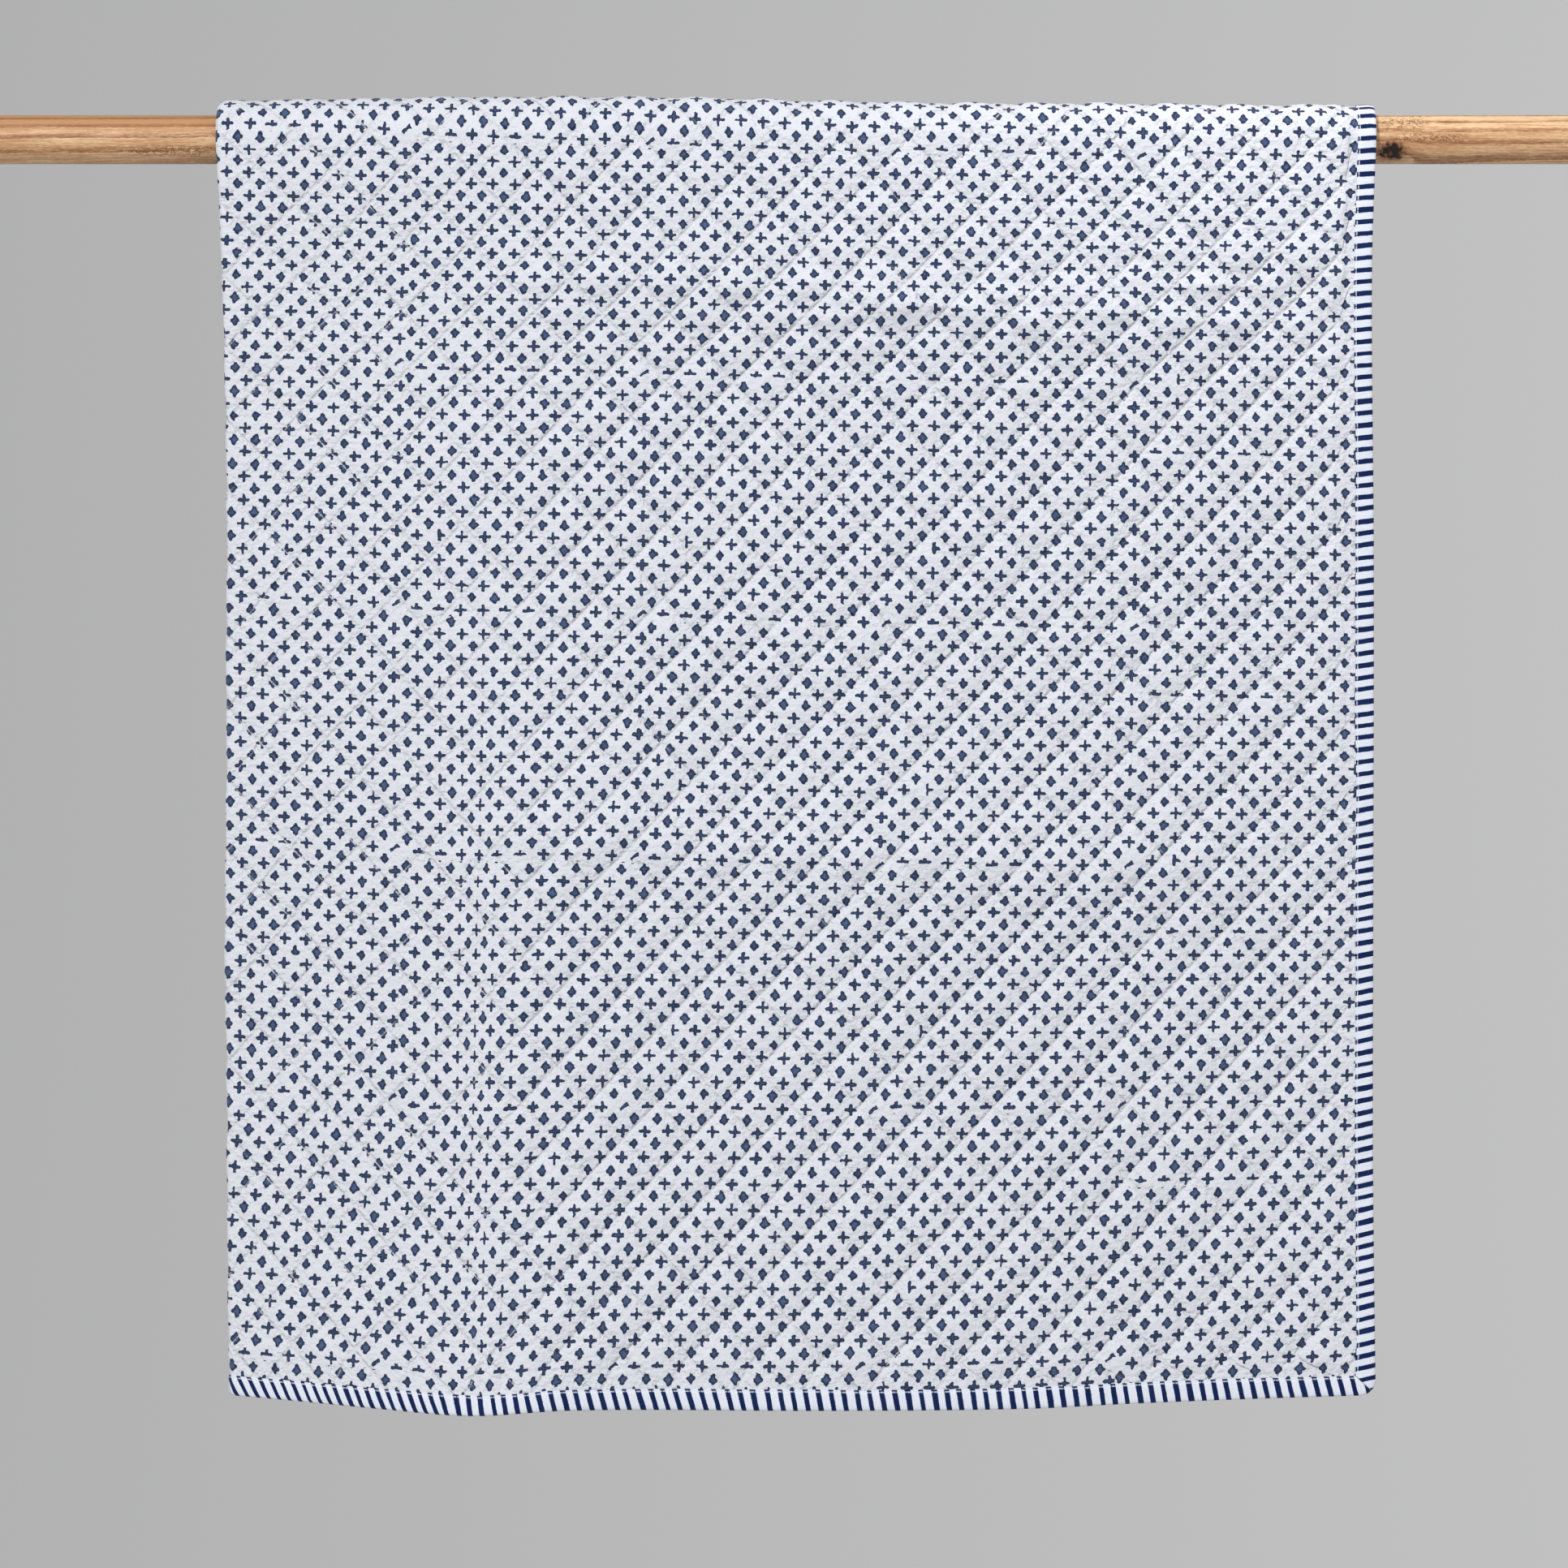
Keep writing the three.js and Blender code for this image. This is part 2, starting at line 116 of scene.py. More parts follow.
# Binding
BINDING_WIDTH = 10.5
BINDING_WALL = 0.4
PIECE_GAP = 0.3
CORNER_RADIUS = 8.0
BINDING_LIFT = HALF_THICKNESS + PIECE_GAP + BINDING_WALL
PANEL_INSET = BINDING_WALL + PIECE_GAP
SEAM_INSET = BINDING_WIDTH + 1

# How the halves lie on each other
REST_GAP = 0.4
HANG_GAP = 2.6
FOLD_GAP = 3.6
FOLD_SPREAD = 30.0
LOOSEN_LENGTH = 70.0
FOLD_REACH = 3.2
INNER_INSET = 14.0
INNER_RISE = 7.0
BOUND_SPREAD = 22.0

# Space between the two halves on the rod
ROD_GAPS = table("x gap", (-300, 4.4), (-133, 6.4), (14, 4), (141, 2.6), (300, 0.9))

# Folded edge and bound edge, by the length below the rod
SIDE_EDGES = table(
    "down left right",
    (0, -301.0, 301.5),
    (70, -298.0, 299),
    (225, -296.4, 300),
    (435, -298.6, 299.8),
    (540, -298.4, 299.8),
    (660, -297, 301.2),
)

# How far each hem hangs below the rod's axis
FRONT_HEM = table(
    "x drop",
    (-296, 658.3),
    (-212, 662.5),
    (-168, 664),
    (-118, 661),
    (8, 661.3),
    (120, 660.3),
    (177, 657.8),
    (300, 653.5),
)
BACK_HEM = table("x drop", (-300, 283), (-150, 288), (40, 286), (180, 290), (300, 285))

# The front's left panel turns away from a soft upright ridge, more towards the hem
LEFT_TURN = table(
    "down ridge angle forward",
    (0, -139, 0, 0),
    (60, -139, 1.5, 0.5),
    (200, -139, 5, 2),
    (400, -141, 11, 4),
    (520, -147, 15, 5),
    (660, -163, 19, 6),
)
RIDGE_SOFTNESS = 6.0
RIDGE_SPREAD = 70.0

# Soft upright waves: out is how far the cloth stands off at the hem
FRONT_WAVES = table("x spread out", (60, 120, 3), (235, 95, -3))
BACK_WAVES = table("x spread out", (-250, 90, 9), (-40, 80, -2), (120, 110, 6))

# Creases on the front of the outer half, each a line from one place to another.
# Down is the length below the rod, and out is the height of a ridge, or below zero the depth of a trough.
# Soft is how round the top is, spread how wide the sides are, and fade how slowly the ends run out.
CREASES = table(
    "x0 down0 x1 down1 spread soft out fade",
    (-145, 73, 238, 100, 23, 3, 4.2, 30),
    (10, 84, 190, 94, 3, 2, 0.8, 30),
    (-146, 362, 238, 390, 24, 4, 4, 30),
    (-137, 2, -133, 48, 5, 5, -0.9, 10),
    (-122, 72, -122, 100, 5, 6, -0.8, 12),
    (-134, 222, -135, 245, 4, 4, -0.7, 10),
    (-133, 300, -136, 376, 4, 4, -1.0, 14),
    (-139, 245, -141, 470, 3, 2, 0.5, 20),
    (-122, 245, -126, 480, 3, 2, 0.4, 20),
    (-128, 500, -152, 640, 5, 2, -0.7, 25),
    (2, 520, 14, 585, 6, 7, -0.7, 16),
    (208, 106, 222, 122, 7, 7, -0.9, 8),
    (-127, 110, -131, 500, 12, 5, -1.7, 60),
    (-131, 500, -150, 650, 11, 5, -1.5, 30),
    (-192, 600, -168, 658, 4, 2, -0.9, 12),
    (-139, 606, -159, 658, 4, 2, -0.9, 12),
)
# How far a crease strays from its line: a length, a share of its spread, and the length of one bend
CREASE_STRAY = 2.0
CREASE_STRAY_SHARE = 0.1
CREASE_BEND = 28.0

# Ripples of the printed face: along the two long creases, along the ridge of the left panel, and all over
CREASE_RIPPLES = table(NOISE, (32, 7, 1.5, 11), (15, 4.5, 0.9, 12))
RIDGE_RIPPLES = table(NOISE, (7, 60, 0.35, 13))
EVEN_RIPPLES = table(NOISE, (14, 12, 0.24, 14), (6.5, 6.5, 0.144, 15), (70, 80, 0.7, 16))
# Where the creases ripple, and how far from the fold that begins
RIPPLE_BANDS = table("down reach share", (80, 32, 1.0), (376, 34, 0.4))
RIPPLES_BEGIN = (190, 330)
# Where the ridge ripples
RIDGE_ACROSS = 438.0
RIDGE_REACH = 16.0
RIDGE_BEGINS = (120, 330)

# The print: rows of small crosses with a blunt diamond between each four, in blocks of 11 by 10
PRINT_COLUMN = 11.65
PRINT_ROW = 12.6
BLOCK_COLUMNS = 11
BLOCK_ROWS = 10
BLOCK_EDGE = 0.75
BLOCK_FOOT = 0.25
PRINT_MIDDLE = 285.0

# Rows of the print up the cloth, how they slope, where the third block column starts, and how far it spreads.
# Squeeze is how much of the print is lost in the creases beside the left panel.
PRINT_LAY = table(
    "along row slope lean spread squeeze",
    (0, -1.7, 0.004, 210, 0.012, 6.5),
    (22.7, 0, 0.004, 211.6, 0.012, 6.6),
    (156.5, 10, -0.014, 219.1, 0.009, 8.6),
    (221.5, 15, -0.0225, 221.2, 0.0085, 7.3),
    (284, 20, -0.031, 223.2, 0.008, 5.8),
    (409, 30, -0.038, 226.6, 0.003, 0),
    (535, 40, -0.033, 229.4, -0.003, -0.5),
    (654, 50, -0.035, 233.5, -0.008, 1),
    (1000, 78, -0.02, 240, 0, 0),
)
SQUEEZE_SPAN = (119, 145)

# How the stripes of the binding lean along a run, and how far they crowd together there
HEM_LEAN = table(
    "run lean crowd",
    (0, -0.22, 0),
    (40, -0.24, 0),
    (103, -0.18, 0),
    (167, -0.14, 0),
    (294, -0.18, 0),
    (379, -0.3, 0),
    (440, -0.22, 1),
    (472, -0.16, 5),
    (489, -0.42, 8),
    (548, -0.5, 18),
    (595, -0.6, 26),
    (700, -0.3, 35),
    (1190, -0.2, 45),
)
SIDE_LEAN = table(
    "run lean crowd",
    (0, 0.22, 0),
    (150, 0.18, 7),
    (400, 0.12, 20),
    (660, 0.06, 36),
    (1000, 0.1, 55),
)

# Mesh steps
QUILT_STEPS = 12
FINE_END = 730.0
BACKING_FINE = FRONT_LENGTH - 8
JUST_PAST = 0.1
FOLD_STEPS = 6
NUDGE = 0.5
BINDING_STEP = 3.0
CORNER_STEPS = 6
BAKE_MARGIN = 0.01


# The columns of a table at places between its rows, on smooth curves through them.
# The first column says where the rows are, and isn't among those that come back.
def read_table(rows, at):
    keys, *columns = np.array([list(row.values()) for row in rows], float).T
    count = np.arange(len(keys))
    before = np.maximum(count - 1, 0)
    after = np.minimum(count + 1, len(keys) - 1)
    place = np.clip(at, keys[0], keys[-1])
    i = np.searchsorted(keys[1:-1], place)
    span = keys[i + 1] - keys[i]
    t = (place - keys[i]) / span
    curves = []
    for values in columns:
        slopes = (values[after] - values[before]) / (keys[after] - keys[before])
        rise = values[i + 1] - values[i]
        bend = (1 - t) * (slopes[i] * span - rise) - t * (slopes[i + 1] * span - rise)
        curves.append(values[i] + rise * t + t * (1 - t) * bend)
    return curves


def bell(distance, spread):
    return np.exp(-((distance / spread) ** 2))


def smoothstep(value, low, high):
    t = np.clip((value - low) / (high - low), 0, 1)
    return t * t * (3 - 2 * t)


def lerp(a, b, share):
    return a + (b - a) * share


def unit(vectors):
    return vectors / np.linalg.norm(vectors, axis=-1, keepdims=True)


# Soft noise between -1 and 1 that is the same on each run
def soft_noise(x, y, seed):
    def value(i, j):
        mixed = np.sin(i * 127.1 + j * 311.7 + seed * 74.7) * 43758.5453
        return 2 * (mixed - np.floor(mixed)) - 1

    i, j = np.floor(x), np.floor(y)
    fx, fy = smoothstep(x - i, 0, 1), smoothstep(y - j, 0, 1)
    low = lerp(value(i, j), value(i + 1, j), fx)
    high = lerp(value(i, j + 1), value(i + 1, j + 1), fx)
    return lerp(low, high, fy)


# A sum of soft noises, each with its sizes, its height and its seed
def uneven(noises, x, y, seed=0):
    total = 0
    for row in noises:
        total = total + row["height"] * soft_noise(x / row["wide"], y / row["long"], seed + row["seed"])
    return total


# How far soft waves push the cloth off its plain drop
def wave_height(waves, x, down):
    grown = smoothstep(down, 0, FRONT_LENGTH)
    return sum(wave["out"] * grown * bell(x - wave["x"], wave["spread"]) for wave in waves)


# Depth of the front drop behind its plain hanging plane
def front_depth(x, down):
    ridge, angle, forward = read_table(LEFT_TURN, down)
    past = np.logaddexp(0, (ridge - x) / RIDGE_SOFTNESS)
    turned = np.tan(np.radians(angle)) * RIDGE_SOFTNESS * past
    return turned - forward * bell(x - ridge, RIDGE_SPREAD) - wave_height(FRONT_WAVES, x, down)


# Depth of the back drop behind its plain hanging plane
def back_depth(x, down):
    return wave_height(BACK_WAVES, x, down * (FRONT_LENGTH / BACK_LENGTH))


# Height of the creases on the front of the outer half
def crease_height(x, down):
    total = np.zeros_like(x)
    for n, crease in enumerate(CREASES):
        run_x = crease["x1"] - crease["x0"]
        run_down = crease["down1"] - crease["down0"]
        length = math.hypot(run_x, run_down)
        dx, dd = x - crease["x0"], down - crease["down0"]
        run = (dx * run_x + dd * run_down) / length
        off = (dd * run_x - dx * run_down) / length
        stray = CREASE_STRAY + CREASE_STRAY_SHARE * crease["spread"]
        off = off + stray * soft_noise(run / CREASE_BEND, run * 0, n)
        fade, soft = crease["fade"], crease["soft"]
        begun = smoothstep(run, -fade, fade) * (1 - smoothstep(run, length - fade, length + fade))
        total += crease["out"] * begun * np.exp((soft - np.hypot(soft, off)) / crease["spread"])
    return total


# A flat place as the part of the drop it lies in
def split_along(along):
    front = along < FRONT_LENGTH
    turn = np.pi * np.clip((along - FRONT_LENGTH) / ROD_WRAP, 0, 1)
    length = np.where(front, FRONT_LENGTH - along, np.maximum(0, along - BACK_START))
    return front, turn, length


# Places on the surface that the folded cloth follows: the top of the rod and the drops below it
def base_point(x, along, rise):
    front, turn, length = split_along(along)
    (front_drop,), (back_drop,) = read_table(FRONT_HEM, x), read_table(BACK_HEM, x)
    front_down = (front_drop - rise) * length / FRONT_LENGTH
    back_down = (back_drop - rise) * length / BACK_LENGTH
    down = np.where(front, front_down, back_down)
    depth = np.where(front, front_depth(x, length), back_depth(x, length))
    return np.stack([x, depth - ROD_RADIUS * np.cos(turn), ROD_RADIUS * np.sin(turn) - down], -1)


# Space between the two halves, wider at the fold and below the rod
def layer_gap(x, left, length):
    (on_rod,) = read_table(ROD_GAPS, x)
    hanging = lerp(HANG_GAP, FOLD_GAP, bell(x - left, FOLD_SPREAD))
    return lerp(on_rod, hanging, smoothstep(length, 0, LOOSEN_LENGTH))


# Where across the drop a flat place hangs
def side_place(across, length):
    outer = across < OUTER_WIDTH + FOLD_WIDTH / 2
    share = np.where(outer, 1 - across / OUTER_WIDTH, (across - FOLD_END) / INNER_WIDTH)
    left, right = read_table(SIDE_EDGES, length)
    return outer, np.maximum(share, 0), left + FOLD_REACH, right - np.where(outer, 0, INNER_INSET)


# The draped places of flat ones, lifted off the middle of the cloth towards its printed side
def hang(across, along, lift):
    across, along, lift = np.broadcast_arrays(*(np.asarray(v, float) for v in (across, along, lift)))
    front, _, length = split_along(along)
    outer, share, left, right = side_place(across, length)
    fold = np.pi * np.clip((across - OUTER_WIDTH) / FOLD_WIDTH, 0, 1)
    x = lerp(left, right, share)
    rise = np.where(outer, 0, INNER_RISE * share)

    place = base_point(x, along, rise)
    to_right = unit(base_point(x + NUDGE, along, rise) - base_point(x - NUDGE, along, rise))
    onwards = base_point(x, along + NUDGE, rise) - base_point(x, along - NUDGE, rise)
    outwards = unit(np.cross(to_right, onwards))

    inner_edge = right - np.where(outer, INNER_INSET, 0)
    bound_lift = (BINDING_LIFT - HALF_THICKNESS) * bell(np.minimum(x - inner_edge, 0), BOUND_SPREAD)
    apart = CLOTH_THICKNESS + layer_gap(x, left, length)
    height = crease_height(x, length)
    shared = np.minimum(height, 0) * smoothstep(length, LOOSEN_LENGTH, 2 * LOOSEN_LENGTH)
    crease = np.where(front, lerp(shared, height, (1 + np.cos(fold)) / 2), 0)
    reach = apart / 2 + lift
    off = REST_GAP + HALF_THICKNESS + bound_lift + apart / 2 + reach * np.cos(fold) + crease
    return place - to_right * (reach * np.sin(fold))[..., None] + outwards * off[..., None]


# Place on the stitch grid: a + b and a - b are whole numbers on the stitch lines
def quilt_place(across, along):
    return (across - DIAMOND_ACROSS) / DIAMOND_WIDTH, (along - DIAMOND_ALONG) / DIAMOND_HEIGHT


# Height of a row of round puffs between stitch lines, from 0 on a line to 1 at the crest.
# A lean over 1 moves the crest towards the next line, and under 1 towards the last one.
def puff_row(place, lean=1.0):
    share = (place - np.floor(place)) ** lean
    midway = 1 - np.abs(2 * share - 1)
    return (midway * (2 - midway)) ** PUFF_ROUNDNESS


# How high the wadding stands at a flat place: nothing on the stitch lines and under the binding
def puff_height(across, along):
    a, b = quilt_place(across, along)
    front, turn, length = split_along(along)
    loose = smoothstep(length, 0, LOOSEN_LENGTH)
    on_rod = (turn > 0) & (turn < np.pi)
    inside = across > OUTER_WIDTH
    pressed = np.where(on_rod, 0, loose)
    kept = np.where(inside, pressed, lerp(PUFF_ON_ROD, 1, np.where(front, loose, pressed)))

    beyond = smoothstep(np.abs(OUTER_WIDTH - across), *LEFT_ENDS)
    lowness = np.where(front & ~inside, smoothstep(length, *CROSS_SPAN), 0)
    cross = lerp(1, puff_row(a - b), lerp(CROSS_TOP, CROSS_BOTTOM, lowness))
    full = puff_row(a + b, PUFF_LEAN) * cross * (1 + uneven(PUFF_NOISE, across, along))
    flat = PUFF_LEFT * puff_row(a - b, LEFT_LEAN) * lerp(1, puff_row(a + b), LEFT_CROSS)
    return PUFF_HEIGHT * kept * from_seam(across, along) * lerp(flat, full, beyond)


# Distances from the nearer side and from the nearer hem
def from_edges(across, along):
    return np.minimum(across, FLAT_WIDTH - across), np.minimum(along, FLAT_LENGTH - along)


# 0 at the edges of the cloth and under the binding, and 1 further in
def from_seam(across, along):
    return smoothstep(np.minimum(*from_edges(across, along)), SEAM_INSET, SEAM_INSET + PUFF_FADE)


# How far the stitched lines lie from a straight grid, across and along
def wander(across, along):
    outer = 1 - smoothstep(across, OUTER_WIDTH - GRID_FADE, OUTER_WIDTH)
    front = 1 - smoothstep(along, FRONT_LENGTH, BACK_START)
    top = GRID_TOP_SHIFT * smoothstep(along, *GRID_TOP_SPAN)
    turned = [
        GRID_TURN_ACROSS * (along - FRONT_LENGTH / 2) + top,
        GRID_TURN_ALONG * (across - OUTER_WIDTH / 2) + top,
    ]
    loose = from_seam(across, along) * outer
    return [loose * (turn * front + uneven(drift, across, along)) for turn, drift in zip(turned, DRIFTS)]


# Small unevenness of the printed face, and none where the inner half lies on the rod
def crinkle(across, along):
    front, _, length = split_along(along)
    bands = sum(band["share"] * bell(length - band["down"], band["reach"]) for band in RIPPLE_BANDS)
    begun = smoothstep(OUTER_WIDTH - across, *RIPPLES_BEGIN)
    ridge = bell(across - RIDGE_ACROSS, RIDGE_REACH) * smoothstep(length, *RIDGE_BEGINS)
    creased = bands * begun * uneven(CREASE_RIPPLES, across, along)
    upright = ridge * uneven(RIDGE_RIPPLES, across, along)
    rough = front * (creased + upright) + uneven(EVEN_RIPPLES, across, along)
    held = smoothstep(across, OUTER_WIDTH, OUTER_WIDTH + FOLD_WIDTH / 2)
    return rough * from_seam(across, along) * lerp(1, smoothstep(length, 0, LOOSEN_LENGTH), held)


# The lift of the printed face, eased off where it would sink into the backing
def over_backing(lift):
    lowest = THINNEST - HALF_THICKNESS
    return lowest + THINNEST_SOFTNESS * np.logaddexp(0, (lift - lowest) / THINNEST_SOFTNESS)


# Print coordinates: columns to the right from the third block, and rows up from the lowest whole block
def print_place(across, along):
    from_fold = OUTER_WIDTH - across
    level = along - read_table(PRINT_LAY, along)[1] * (from_fold - PRINT_MIDDLE)
    row, _, lean, spread, squeeze = read_table(PRINT_LAY, level)
    lost = squeeze * (1 - smoothstep(from_fold, *SQUEEZE_SPAN))
    return np.stack([(from_fold - lean - lost) / (PRINT_COLUMN * (1 + spread)), row], -1)


def add_object(name, data):
    added = bpy.data.objects.new(name, data)
    bpy.context.scene.collection.objects.link(added)
    return added


# Makes a mesh object from points in millimetres, triangles, and maps with one place for each corner
def make_mesh(name, points, faces, maps):
    mesh = bpy.data.meshes.new(name)
    corners = points[faces]
    volume = np.einsum("ij,ij->i", corners[:, 0], np.cross(corners[:, 1], corners[:, 2])).sum()
    turned = volume < 0
    if turned:
        faces = faces[:, ::-1]
    mesh.from_pydata((points * MM).tolist(), [], faces.tolist())
    for map_name, places in maps.items():
        layer = mesh.uv_layers.new(name=map_name)
        ordered = places[:, ::-1] if turned else places
        layer.data.foreach_set("uv", ordered.reshape(-1).astype(np.float32))
    mesh.shade_smooth()
    return add_object(name, mesh)


# Triangles between two rows of points that run the same way, along the lower diagonals
def strip(a, b, runs_a, runs_b, lift_a=None, lift_b=None):
    if len(a) == len(b) and np.allclose(runs_a, runs_b):
        lower = np.ones(len(a) - 1, bool)
        if lift_a is not None:
            lower = lift_a[1:] + lift_b[:-1] <= lift_a[:-1] + lift_b[1:]
        first = np.where(lower, a[1:], b[1:])
        second = np.where(lower, b[:-1], a[:-1])
        one = np.stack([a[:-1], first, b[:-1]], 1)
        two = np.stack([a[1:], b[1:], second], 1)
        return np.concatenate([one, two])
    faces = []
    i = j = 0
    while i < len(a) - 1 or j < len(b) - 1:
        next_a = runs_a[i + 1] if i < len(a) - 1 else math.inf
        next_b = runs_b[j + 1] if j < len(b) - 1 else math.inf
        if next_a <= next_b:
            faces.append((a[i], a[i + 1], b[j]))
            i += 1
        else:
            faces.append((a[i], b[j + 1], b[j]))
            j += 1
    return np.array(faces)


# Point numbers and triangles of a tube: rows of points, each closed round and joined to the next
def tube(rows, around):
    index = np.arange(rows * around).reshape(rows, around)
    nexts = np.roll(index, -1, axis=1)
    one = np.stack([index[:-1], index[1:], nexts[1:]], -1).reshape(-1, 3)
    two = np.stack([index[:-1], nexts[1:], nexts[:-1]], -1).reshape(-1, 3)
    return index, np.concatenate([one, two])


# Points of rings round the X axis, one for each place and radius of a profile
def turned_points(profile, sides):
    angle = np.arange(sides) * 2 * math.pi / sides
    rings = [np.stack([angle * 0 + x, r * np.cos(angle), r * np.sin(angle)], -1) for x, r in profile]
    return np.concatenate(rings)


# A share from 0 to 1, kept off the edges of a bake map
def off_edges(share, margin=BAKE_MARGIN):
    return margin + (1 - 2 * margin) * share


# Lines of the stitch grid between two limits
def grid_lines(start, step, low, high):
    return start + step * np.arange(math.ceil((low - start) / step), math.floor((high - start) / step) + 1)


# Rows and columns of the panel's two faces, on the stitch grid
STEP_ALONG = DIAMOND_HEIGHT / QUILT_STEPS
STEP_ACROSS = DIAMOND_WIDTH / QUILT_STEPS
EDGE_LINES = np.array([PANEL_INSET, SEAM_INSET / 2, SEAM_INSET])
FIRST_LINE = SEAM_INSET + 1
LAST_ALONG = FLAT_LENGTH - FIRST_LINE
LAST_ACROSS = FLAT_WIDTH - FIRST_LINE
FOLD_COLUMNS = np.linspace(OUTER_WIDTH, FOLD_END, FOLD_STEPS + 1)


def panel_rows(*spans):
    rows = [grid_lines(DIAMOND_ALONG, STEP_ALONG * many, low, high) for many, low, high in spans]
    return np.concatenate([EDGE_LINES, *rows, FLAT_LENGTH - EDGE_LINES[::-1]])


def panel_columns(many_outer, many_inner):
    outer = grid_lines(DIAMOND_ACROSS, STEP_ACROSS * many_outer, FIRST_LINE, OUTER_WIDTH - 1)
    inner = grid_lines(DIAMOND_ACROSS, STEP_ACROSS * many_inner, FOLD_END + 1, LAST_ACROSS)
    return np.concatenate([EDGE_LINES, outer, FOLD_COLUMNS, inner, FLAT_WIDTH - EDGE_LINES[::-1]])


FINE_ROWS = panel_rows((1, FIRST_LINE, FINE_END), (2, FINE_END + JUST_PAST, LAST_ALONG))
COARSE_ROWS = panel_rows((2, FIRST_LINE, LAST_ALONG))
BACKING_ROWS = panel_rows(
    (4, FIRST_LINE, BACKING_FINE),
    (1, BACKING_FINE + JUST_PAST, FINE_END),
    (4, FINE_END + JUST_PAST, LAST_ALONG),
)
PRINT_COLUMNS = panel_columns(1, 2)
BACKING_COLUMNS = panel_columns(4, 4)
CORNER_TRIM = CORNER_RADIUS * (1 - math.sqrt(0.5)) + 2 * PANEL_INSET
ON_LINE = 0.01

# Where the two faces and the thin edges of the panel lie on its bake map
PRINT_SPAN = (0.01, 0.81)
BACKING_SPAN = (0.83, 0.95)
RIM_SPAN = (0.96, 0.99)
RIM_SHARE = 0.8


# Draws the four corners in, so that they lie inside the rounded binding
def trim_corners(across, along):
    corner = np.maximum(*from_edges(across, along)) < PANEL_INSET + NUDGE
    across = np.where(corner, np.clip(across, CORNER_TRIM, FLAT_WIDTH - CORNER_TRIM), across)
    along = np.where(corner, np.clip(along, CORNER_TRIM, FLAT_LENGTH - CORNER_TRIM), along)
    return across, along


# The grid of the panel's printed face and backing: its columns, their flat places, and which are printed
def panel_grid():
    columns, flat, printed = [], [], []
    count = 0
    for face_columns, side in ((PRINT_COLUMNS, 1.0), (BACKING_COLUMNS, 0.0)):
        for across in face_columns:
            rows = BACKING_ROWS
            if side:
                rows = FINE_ROWS if across <= FOLD_END else COARSE_ROWS
            columns.append(dict(index=np.arange(count, count + len(rows)), rows=rows))
            flat.append(np.stack([np.full(len(rows), across), rows], 1))
            printed.append(np.full(len(rows), side))
            count += len(rows)
    return columns, np.concatenate(flat), np.concatenate(printed)


# Triangles of the two faces, and of each of the four thin edges between them
def panel_faces(columns, puffs):
    front, backing = columns[: len(PRINT_COLUMNS)], columns[len(PRINT_COLUMNS) :]

    def between(a, b, *lifts):
        return strip(a["index"], b["index"], a["rows"], b["rows"], *lifts)

    faces = [between(a, b, puffs[a["index"]], puffs[b["index"]]) for a, b in zip(front, front[1:])]
    faces += [between(b, a) for a, b in zip(backing, backing[1:])]
    rims = [between(backing[0], front[0]), between(front[-1], backing[-1])]
    for end, flipped in ((0, False), (-1, True)):
        tops = np.array([c["index"][end] for c in front])
        unders = np.array([c["index"][end] for c in backing])
        sides = [(tops, PRINT_COLUMNS), (unders, BACKING_COLUMNS)]
        (a, runs_a), (b, runs_b) = sides[::-1] if flipped else sides
        rims.append(strip(a, b, runs_a, runs_b))
    return np.concatenate(faces), rims


# Bake places of the panel: its two faces, and its thin edges in four narrow bands
def panel_bake(faces, rims, flat, hung, printed):
    across, along = flat.T
    spans = np.where(printed[:, None] > 0, PRINT_SPAN, BACKING_SPAN)
    up = lerp(spans[:, 0], spans[:, 1], along / FLAT_LENGTH)
    places = [np.stack([off_edges(across / FLAT_WIDTH), up], 1)[faces]]
    low, high = RIM_SPAN
    band = (high - low) / len(rims)
    for n, rim in enumerate(rims):
        runs_along = n < 2
        whole = FLAT_LENGTH if runs_along else FLAT_WIDTH
        run = hung[rim, 1 if runs_along else 0] / whole
        height = low + band * (n + RIM_SHARE * printed[rim])
        places.append(np.stack([off_edges(run), height], -1))
    return np.concatenate(places)


# Edges of the mesh that lie on a stitch line are shaded sharp, so that the puffs meet in a valley
def mark_stitch_lines(mesh, across, along, printed):
    ends = np.empty(2 * len(mesh.edges), np.int32)
    mesh.edges.foreach_get("vertices", ends)
    start, end = ends.reshape(-1, 2).T
    a, b = quilt_place(across, along)
    sharp = np.zeros(len(start), bool)
    for line in (a + b, a - b):
        on_line = np.abs(line - np.round(line)) < ON_LINE
        same = np.abs(line[start] - line[end]) < ON_LINE
        sharp |= on_line[start] & on_line[end] & same
    sharp &= (printed[start] > 0) & (printed[end] > 0)
    layer = mesh.attributes.new("sharp_edge", "BOOLEAN", "EDGE")
    layer.data.foreach_set("value", sharp)


def make_panel():
    columns, flat, printed = panel_grid()
    across, along = flat.T
    puffs = puff_height(across, along) * printed
    face = over_backing(HALF_THICKNESS + puffs + crinkle(across, along))
    lift = np.where(printed > 0, face, -HALF_THICKNESS)
    hung = flat + np.stack(wander(across, along), 1)
    points = hang(*trim_corners(*hung.T), lift)

    faces, rims = panel_faces(columns, puffs)
    every = np.concatenate([faces, *rims])
    maps = {
        "cloth": (hung * MM)[every],
        "print": print_place(*hung.T)[every],
        "quilt": np.stack(quilt_place(across, along), 1)[every],
        "OFBake": panel_bake(faces, rims, flat, hung, printed),
    }
    panel = make_mesh("quilt_cloth", points, every, maps)
    layer = panel.data.attributes.new("printed", "FLOAT", "POINT")
    layer.data.foreach_set("value", printed.astype(np.float32))
    mark_stitch_lines(panel.data, across, along, printed)
    return panel


